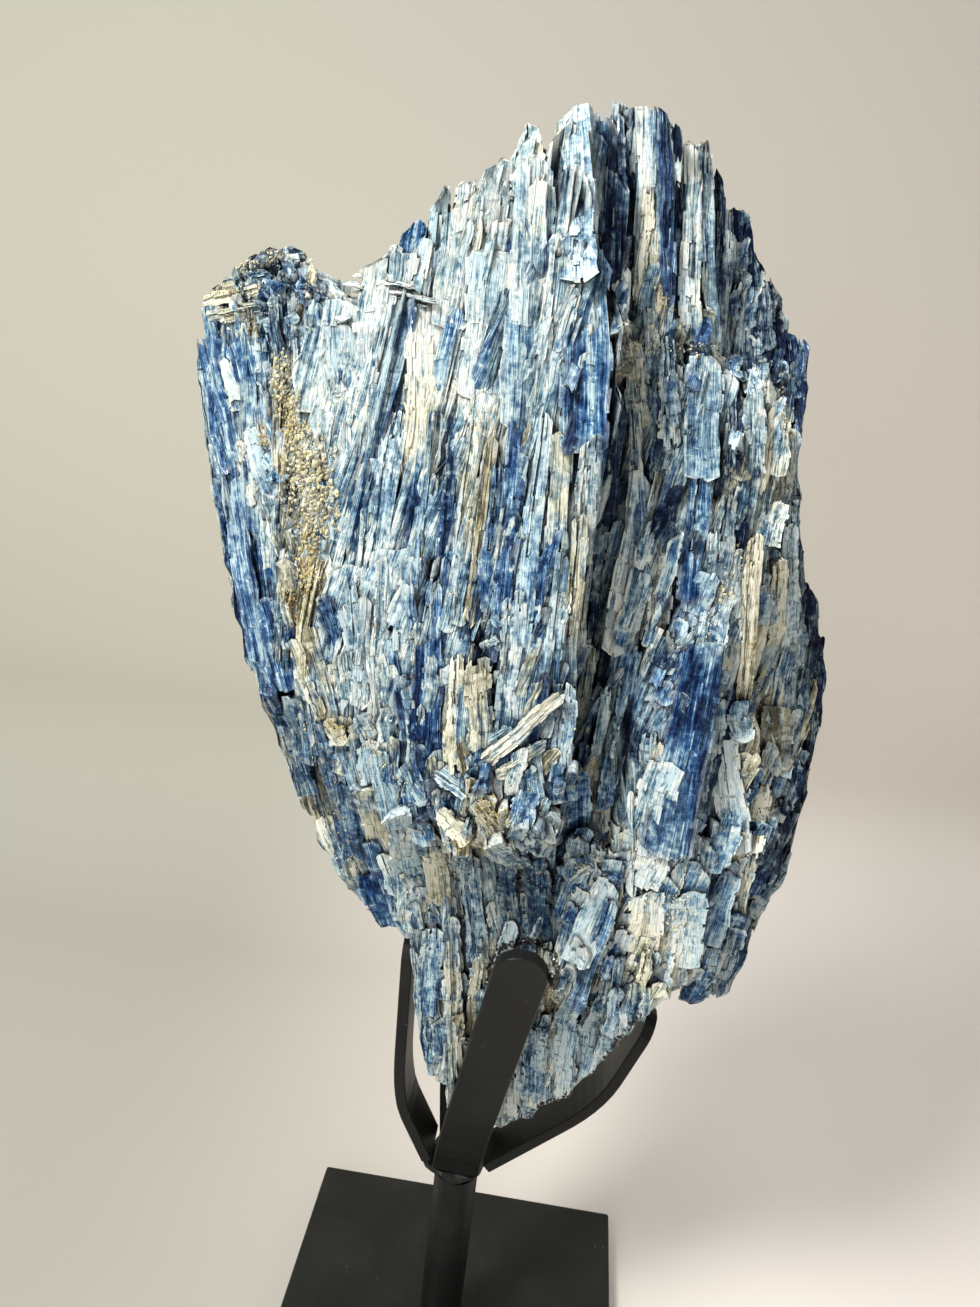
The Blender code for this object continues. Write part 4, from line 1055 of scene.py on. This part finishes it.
# Where they lie, in points of the picture: a path, its half width, how many, their size in mm, how tan
lumpAreas = {
    "grain": (
        (((279, 356), (283, 400)), 10, 90, (0.3, 1.2), 0.5), (((284, 400), (298, 438)), 16, 190, (0.3, 1.3), 0.6),
        (((303, 440), (316, 480)), 23, 300, (0.3, 1.4), 0.4), (((314, 480), (318, 528)), 26, 330, (0.3, 1.4), 0.35),
        (((310, 528), (307, 596)), 17, 240, (0.3, 1.2), 0.7), (((296, 440), (292, 500)), 14, 120, (0.4, 1.4), 0.2),
        (((262, 430), (264, 446)), 6, 22, (0.3, 0.8), 1), (((283, 458), (283, 472)), 6, 20, (0.3, 0.8), 1),
        (((306, 556), (304, 580)), 8, 30, (0.3, 0.8), 1), (((288, 588), (294, 618)), 6, 30, (0.3, 0.7), 1),
        (((301, 610), (303, 688)), 3, 30, (0.25, 0.6), 0.6), (((210, 292), (250, 292)), 9, 60, (0.3, 0.8), 0.5),
        (((240, 312), (256, 334)), 8, 40, (0.3, 0.7), 0.5), (((236, 268), (290, 254)), 10, 110, (0.3, 0.9), 0.1),
        (((306, 292), (311, 266)), 5, 24, (0.3, 0.7), 0.7), (((482, 802), (512, 826)), 15, 130, (0.3, 0.8), 0.7),
        (((436, 838), (478, 846)), 10, 80, (0.3, 0.7), 0.6), (((488, 945), (492, 985)), 6, 40, (0.3, 0.7), 0.6),
        (((546, 962), (552, 1030), (545, 1085)), 7, 90, (0.3, 0.8), 0.5),
        (((326, 720), (344, 734)), 9, 50, (0.3, 0.9), 0.6), (((364, 738), (382, 756)), 7, 30, (0.3, 0.8), 0.6),
        (((383, 822), (384, 838)), 4, 16, (0.3, 0.6), 0.9),
        (((700, 640), (725, 590), (745, 545)), 9, 90, (0.3, 0.9), 0.2),
        (((735, 745), (755, 790)), 10, 60, (0.3, 0.8), 0.1), (((655, 282), (672, 314)), 8, 50, (0.3, 0.7), 0.5),
        (((560, 858), (592, 872)), 7, 30, (0.3, 0.8), 0), (((625, 345), (700, 350)), 9, 70, (0.3, 0.8), 0.3),
        (((440, 865), (560, 880), (600, 850)), 18, 130, (0.25, 0.7), 0.2),
        (((640, 890), (690, 905), (650, 950)), 16, 130, (0.3, 0.8), 0.3),
        (((380, 760), (420, 800), (500, 835)), 7, 90, (0.25, 0.7), 0.3),
        (((300, 720), (330, 790), (350, 850)), 8, 80, (0.25, 0.7), 0.5),
        (((570, 700), (590, 760), (600, 830)), 8, 50, (0.25, 0.7), 0.4),
        (((750, 640), (770, 760)), 12, 70, (0.25, 0.7), 0.4), (((745, 380), (790, 400)), 12, 50, (0.25, 0.7), 0.1),
    ),
    "glue": (
        (((488, 990), (490, 968), (498, 950), (514, 942), (536, 941), (550, 948), (557, 966), (556, 990)),
         4, 200, (0.5, 1.4), 0),
        (((482, 1143), (520, 1122), (545, 1103), (580, 1090), (600, 1067), (620, 1038), (640, 1016)),
         4, 190, (0.5, 1.3), 0),
    ),
}


def layLumps(name, areas, blanks, skin, seed):
    chance = random.Random(seed)
    shapes = [(pointsOf(blank.data), [tuple(face.vertices) for face in blank.data.polygons]) for blank in blanks]
    corners, faces, strands, tints, count = [], [], [], [], 0
    for path, wide, many, sizes, tan in areas:
        lengths = [math.dist(start, end) for start, end in zip(path, path[1:])]
        for lump in range(many):
            leg = chance.choices(range(len(lengths)), lengths)[0]
            share = chance.random()
            x, y = (path[leg][axis] * (1 - share) + path[leg + 1][axis] * share for axis in (0, 1))
            x, y = x + chance.triangular(-wide, wide), y + chance.triangular(-wide, wide)
            found = touch(skin, x, y)
            if not found:
                continue
            size = chance.triangular(*sizes, sizes[0])
            turn = Matrix.Rotation(chance.uniform(0, 6.28), 3, "Z")
            turn = turn @ Matrix.Rotation(chance.uniform(-0.7, 0.7), 3, "X")
            points, sides = chance.choice(shapes)
            stretch = np.array([chance.uniform(0.7, 1.3), chance.uniform(0.6, 1.0), chance.uniform(0.7, 1.5)])
            spots = (points * stretch) @ np.array(turn).T * size * mm + viewPlace + rayAt(x, y) * found[0]
            corners.append(spots)
            faces += [tuple(corner + count for corner in side) for side in sides]
            count += len(points)
            strands += [chance.random()] * len(points)
            tints += [(0, 0, tan * chance.uniform(0.5, 1.2), 1)] * len(points)
    mesh = bpy.data.meshes.new(name)
    mesh.from_pydata(np.concatenate(corners), [], faces)
    addValues(mesh, "strand", "FLOAT", np.array(strands))
    addValues(mesh, "paint", "FLOAT_COLOR", np.array(tints))
    return addThing(name, mesh)


def keepBehind(pieces, part, inward, reach):
    # stone that would stand in or before a prong lies back against it
    bar = nodes[part]
    tree = BVHTree.FromPolygons([bar.matrix_world @ point.co for point in bar.data.vertices],
                                [tuple(face.vertices) for face in bar.data.polygons])
    inward = Vector(inward).normalized()
    low, high = np.min(bar.bound_box, 0), np.max(bar.bound_box, 0)
    moved = 0
    for piece in pieces:
        points = pointsOf(piece.data)
        near = ((points > low - reach) & (points < high + reach)).all(1)
        for number in np.flatnonzero(near):
            start, last = Vector(points[number]), None
            hit = tree.ray_cast(start, inward, reach)
            while hit[0] is not None:
                last = hit[0]
                hit = tree.ray_cast(last + inward * 1e-5, inward, reach)
            if last is not None:
                points[number] = last + inward * 0.3 * mm
                moved += 1
        setPoints(piece.data, points)
    print(part, "points laid back:", moved)


for part, inward in (("front_prong", (0, 1, 0.2)), ("right_prong", (-0.8, 0, 0.6)), ("left_prong", (1, 0, 0.35)),
                     ("back_prong", (0, -1, 0.2))):
    keepBehind(stonePieces, part, inward, 12 * mm)


def longestEdges(mesh, points):
    ends = readAll(mesh.loops, "vertex_index", 1, np.int32)
    first = readAll(mesh.polygons, "loop_start", 1, np.int32)
    after = np.roll(ends, -1)
    after[np.append(first[1:], len(ends)) - 1] = ends[first]
    return np.maximum.reduceat(np.linalg.norm(points[ends] - points[after], axis=1), first)


def keepInside(pieces, line, near, far):
    # what stands out past the outline is drawn in, each crystal to its own distance from it
    chance = random.Random(17)
    teeth = []
    for start, end in zip(line, line[1:] + line[:1]):
        long = math.dist(start, end)
        marks = max(1, int(long / 8))
        for mark in range(marks):
            off, share = chance.uniform(-4.5, 3.5), mark / marks
            teeth.append((start[0] + (end[0] - start[0]) * share + (end[1] - start[1]) / long * off,
                          start[1] + (end[1] - start[1]) * share - (end[0] - start[0]) / long * off))
    line = np.array(teeth)
    for piece in pieces:
        points = pointsOf(piece.data)
        before = longestEdges(piece.data, points)
        strand = readAll(piece.data.attributes["strand"].data, "value")
        seen = seenAt(points)
        out = np.flatnonzero(~insideLine(seen[:, 0], seen[:, 1], line))
        best = np.full(len(out), 1e9)
        move = np.zeros((len(out), 2))
        for start, end in zip(line, np.roll(line, -1, 0)):
            gap, apart = gapTo(seen[out], start, end)
            nearer = apart < best
            best[nearer], move[nearer] = apart[nearer], gap[nearer]
        soft = near + (far - near) * ((strand[out] * 13.7) % 1) ** 1.3
        kept = soft * (1 - np.exp(-best / soft)) - np.minimum(best, 2.0)
        move *= (1 - kept / np.maximum(best, 1e-6))[:, None]
        depth = (points[out] - viewPlace) @ viewRows[2]
        points[out] += (move[:, :1] * viewRows[0] + move[:, 1:] * viewRows[1]) * depth[:, None] / focal
        setPoints(piece.data, points)
        torn = longestEdges(piece.data, points) > before + 2.5 * mm
        if torn.any():
            take(piece)
            pickFaces(piece, lambda at, facing: torn)
            bpy.ops.mesh.delete(type="FACE")
            bpy.ops.object.mode_set(mode="OBJECT")
            print(piece.name, "stretched faces left out:", int(torn.sum()))


keepInside(stonePieces, outline, 1.5, 8.0)
skin = skinOf(stonePieces)
grains = layLumps("grain", lumpAreas["grain"], lumpBlanks, skin, 31)
glue = layLumps("glue", lumpAreas["glue"], lumpBlanks, skin, 32)
dress(grains, grainSheet)
dress(glue, glueSheet)
for blank in lumpBlanks:
    bpy.data.objects.remove(blank)
print("grains and glue laid:", len(grains.data.polygons), len(glue.data.polygons))


# Colour painted on the crystals: streaks from one point of the picture to another, their width, and how
# strong they are in tenths. The pale streaks are partly pale crystal and partly painted sheen, most of all
# on the upper-left plates that face the light; the dark streaks are partly dark crystal and partly painted
# shade in crevices, under ledges and down the shaded right side
streaks = {
    "pale": (
        (345, 282, 400, 262, 44, 10), (400, 256, 470, 205, 38, 10), (478, 185, 545, 165, 34, 10),
        (365, 300, 350, 420, 32, 8), (440, 260, 425, 430, 30, 8), (505, 220, 480, 430, 34, 8),
        (560, 260, 545, 420, 24, 7), (350, 560, 380, 690, 40, 5), (570, 115, 590, 180, 18, 9),
        (640, 130, 645, 180, 10, 8), (690, 150, 690, 240, 10, 6), (690, 630, 720, 660, 14, 9),
        (490, 755, 560, 690, 10, 8), (565, 855, 590, 880, 14, 9), (600, 880, 690, 960, 34, 6),
        (730, 520, 745, 640, 12, 5), (230, 300, 330, 280, 22, 5), (230, 440, 260, 640, 14, 3),
    ),
    "tan": (
        (275, 355, 290, 430, 12, 6), (290, 430, 312, 600, 18, 6), (300, 600, 303, 685, 8, 10),
        (262, 434, 264, 446, 6, 13), (283, 458, 283, 472, 6, 13), (300, 560, 312, 585, 8, 14),
        (285, 590, 292, 615, 6, 13), (215, 287, 250, 298, 12, 9), (240, 308, 256, 332, 8, 9),
        (303, 292, 312, 264, 7, 9), (480, 224, 480, 250, 6, 10), (405, 438, 405, 462, 5, 11),
        (490, 450, 466, 520, 6, 11), (478, 796, 512, 832, 14, 9), (468, 838, 482, 852, 8, 9),
        (490, 948, 490, 984, 9, 10), (325, 715, 345, 735, 9, 10), (655, 280, 670, 312, 8, 9),
        (680, 244, 680, 256, 5, 9), (645, 190, 655, 260, 7, 7), (772, 414, 790, 430, 8, 9),
        (575, 550, 585, 620, 5, 9), (748, 540, 762, 700, 9, 8), (770, 564, 780, 580, 6, 10),
        (752, 690, 790, 730, 14, 8), (620, 900, 660, 950, 14, 7), (262, 705, 330, 850, 7, 7),
        (545, 960, 556, 1090, 12, 8), (383, 824, 383, 836, 5, 13), (440, 960, 480, 1090, 16, 5),
        (495, 425, 525, 440, 5, 8), (560, 130, 556, 160, 5, 6), (430, 700, 470, 790, 14, 5),
        (730, 600, 752, 760, 14, 5), (225, 330, 262, 420, 16, 3),
    ),
    "blue": (
        (205, 338, 218, 352, 9, 10), (214, 398, 225, 422, 9, 10), (222, 430, 238, 512, 7, 10),
        (226, 520, 233, 545, 6, 10), (234, 568, 246, 652, 12, 10), (362, 338, 368, 376, 7, 10),
        (410, 300, 395, 400, 5, 9), (395, 400, 352, 540, 5, 9), (325, 600, 345, 635, 9, 8),
        (402, 688, 430, 742, 16, 9), (660, 118, 675, 295, 11, 13), (265, 284, 275, 298, 8, 10),
        (795, 345, 812, 450, 11, 11), (692, 650, 700, 668, 9, 11), (700, 905, 742, 965, 20, 7),
        (620, 640, 640, 700, 10, 9), (600, 440, 640, 500, 14, 6), (515, 420, 500, 600, 6, 6),
        (735, 398, 742, 452, 8, 8), (560, 785, 590, 838, 12, 6), (455, 450, 440, 640, 7, 5),
        (500, 600, 490, 700, 8, 6), (620, 150, 610, 250, 8, 8), (330, 760, 380, 880, 16, 5),
        (300, 740, 320, 800, 10, 5), (690, 380, 700, 470, 7, 6), (560, 1010, 590, 1070, 12, 4),
        (690, 560, 700, 640, 14, 5), (250, 560, 275, 660, 26, 5), (225, 480, 250, 560, 18, 5),
    ),
    "darkAndShade": (
        (605, 150, 625, 255, 18, 10), (560, 165, 596, 248, 14, 10), (245, 358, 252, 402, 4, 9),
        (470, 600, 488, 722, 12, 9), (443, 448, 441, 482, 3, 10), (463, 520, 464, 562, 3, 10),
        (448, 560, 432, 592, 3, 10), (742, 285, 798, 392, 32, 8), (650, 478, 660, 532, 10, 10),
        (585, 590, 600, 636, 9, 10), (620, 690, 640, 762, 10, 10), (585, 738, 600, 822, 9, 9),
        (802, 580, 828, 690, 14, 8), (826, 690, 802, 800, 16, 8), (602, 255, 608, 372, 8, 9),
        (604, 372, 595, 452, 8, 9), (715, 160, 722, 330, 7, 7), (602, 440, 640, 500, 16, 7),
        (700, 910, 742, 962, 16, 5), (440, 865, 560, 940, 26, 2), (590, 960, 560, 1090, 8, 5),
        (720, 390, 716, 500, 8, 7), (612, 560, 600, 740, 10, 8), (700, 240, 690, 330, 7, 7),
        (400, 756, 380, 900, 8, 4), (232, 330, 240, 350, 5, 5), (540, 830, 600, 870, 12, 4),
        (806, 520, 822, 640, 24, 6), (822, 640, 814, 760, 26, 7), (812, 760, 784, 880, 26, 7),
    ),
}


def paintPiece(piece):
    points = pointsOf(piece.data)
    seen = seenAt(points)
    front = np.clip((0.012 - points[:, 1]) / 0.01, 0, 1)
    kinds = ("blue", "pale", "tan", "darkAndShade")
    paint = {kind: np.zeros(len(points)) for kind in kinds}
    for kind, rows in streaks.items():
        for x0, y0, x1, y1, wide, strong in rows:
            off = gapTo(seen, (x0, y0), (x1, y1))[1]
            paint[kind] = np.maximum(paint[kind], np.clip(1.35 - off / wide, 0, 1) * strong / 10 * front)
    tint = piece.data.attributes.get("tint")
    if tint:
        own = readAll(tint.data, "color", 4)
        for place, kind in enumerate(kinds):
            paint[kind] = paint[kind] * 0.4 + own[:, place]
        piece.data.attributes.remove(tint)
    colour = np.stack([paint["blue"], paint["pale"], paint["tan"], np.ones(len(points))], 1)
    addValues(piece.data, "paint", "FLOAT_COLOR", colour)
    addValues(piece.data, "darkAndShade", "FLOAT", paint["darkAndShade"])


for piece in stonePieces:
    paintPiece(piece)
    dress(piece, stoneSheet)
for blank in sum(lathBlanks.values(), []):
    bpy.data.objects.remove(blank)
print("stone painted")


# Stage: a pale table that sweeps up into a pale wall
stageValues = {"front": -0.9, "foot": 0.17, "curve": 0.09, "high": 1.6, "half": 1.8, "steps": 10}


def makeStage(values):
    letGo()
    bpy.ops.mesh.primitive_plane_add(size=1, location=(0, (values["front"] + values["foot"]) / 2, 0))
    floor = bpy.context.object
    floor.name = "floor"
    floor.scale = (values["half"] * 2, values["foot"] - values["front"], 1)
    bpy.ops.object.transform_apply(location=True, rotation=False, scale=True)
    bpy.ops.object.mode_set(mode="OBJECT")
    bpy.context.tool_settings.mesh_select_mode = (False, True, False)
    mesh = floor.data
    for edge in mesh.edges:
        edge.select = all(mesh.vertices[end].co.y > values["foot"] - 0.001 for end in edge.vertices)
    for face in mesh.polygons:
        face.select = False
    bpy.ops.object.mode_set(mode="EDIT")
    before = 0.0
    for step in range(1, values["steps"] + 1):
        angle = math.pi / 2 * step / values["steps"]
        move = (0, (math.sin(angle) - math.sin(before)) * values["curve"],
                (math.cos(before) - math.cos(angle)) * values["curve"])
        bpy.ops.mesh.extrude_region_move(TRANSFORM_OT_translate={"value": move})
        before = angle
    bpy.ops.mesh.extrude_region_move(TRANSFORM_OT_translate={"value": (0, 0, values["high"])})
    bpy.ops.object.mode_set(mode="OBJECT")
    bpy.context.tool_settings.mesh_select_mode = (False, False, True)
    floor.data.shade_smooth()
    sheet = Sheet("palePaper")
    place = sheet.place()
    x, y, z = sheet.parts(place)
    cloud = sheet.noise(place, 3.0, 2.0)
    # painted light and shade: the table is darker on the left, under the key lamp, and brighter on the right, where
    # the stone's shadow falls; the wall is darker to the left too
    table = sheet.mix(x.between(-0.16, 0.12), (0.290, 0.280, 0.240), (0.66, 0.620, 0.590))
    wall = sheet.mix(x.between(-0.20, 0.16), (0.438, 0.423, 0.350), (0.490, 0.455, 0.408))
    colour = sheet.mix(z.between(0.0, 0.12), table, wall)
    colour = sheet.mix((cloud - 0.5) * 0.25 + 0.12, colour, (0.48, 0.47, 0.44))
    # painted shade: the wall darkens upwards
    colour = sheet.mix(z.between(0.14, 0.62) * 0.74, colour, (0.16, 0.155, 0.145))
    grain = sheet.noise(place, 900.0, 2.0)
    raised = sheet.bump(grain, 0.05, 0.1 * mm)
    floor.data.materials.append(sheet.set(Base_Color=colour, Roughness=0.75, Normal=raised))
    return floor


floor = makeStage(stageValues)

# Each light's place, what it looks at, its size, power and colour
lights = {
    "key": ((-0.42, -0.40, 0.78), (0.0, -0.02, 0.22), 0.20, 9.8, (1.0, 0.985, 0.94)),
    "top": ((0.05, 0.02, 0.95), (0.0, 0.0, 0.25), 0.5, 5.0, (1.0, 0.985, 0.95)),
    "fill": ((0.65, -0.55, 0.40), (0.0, 0.0, 0.2), 0.5, 1.2, (1.0, 0.95, 0.88)),
    "front": ((-0.26, -0.62, 0.30), (0.0, 0.0, 0.2), 0.3, 1.1, (0.96, 0.98, 1.0)),
}


def makeLights(table):
    for name, (at, to, size, power, colour) in table.items():
        lamp = bpy.data.lights.new(name, "AREA")
        lamp.size, lamp.energy, lamp.color = size, power, colour
        thing = addThing(name, lamp)
        thing.location = at
        thing.rotation_euler = (Vector(to) - Vector(at)).to_track_quat("-Z", "Y").to_euler()
    world = bpy.data.worlds.new("softRoom")
    world.use_nodes = True
    room = world.node_tree.nodes["Background"].inputs
    room["Color"].default_value = (0.86, 0.83, 0.74, 1)
    room["Strength"].default_value = 0.10
    bpy.context.scene.world = world


makeLights(lights)


def makeCamera(values):
    lens = bpy.data.cameras.new("pictureCamera")
    lens.lens = values["focal"] / values["high"] * values["sensor"]
    lens.sensor_width = values["sensor"]
    lens.sensor_fit = "AUTO"
    lens.clip_start = 0.01
    camera = addThing("pictureCamera", lens)
    right, down, forward = (Vector(values[key]) for key in ("right", "down", "forward"))
    turned = Matrix((right, -down, -forward)).transposed()
    camera.matrix_world = Matrix.Translation(values["place"]) @ turned.to_4x4()
    bpy.context.scene.camera = camera


makeCamera(cameraValues)
bpy.context.scene.view_settings.view_transform = "Standard"
print("stage, lights and camera set")
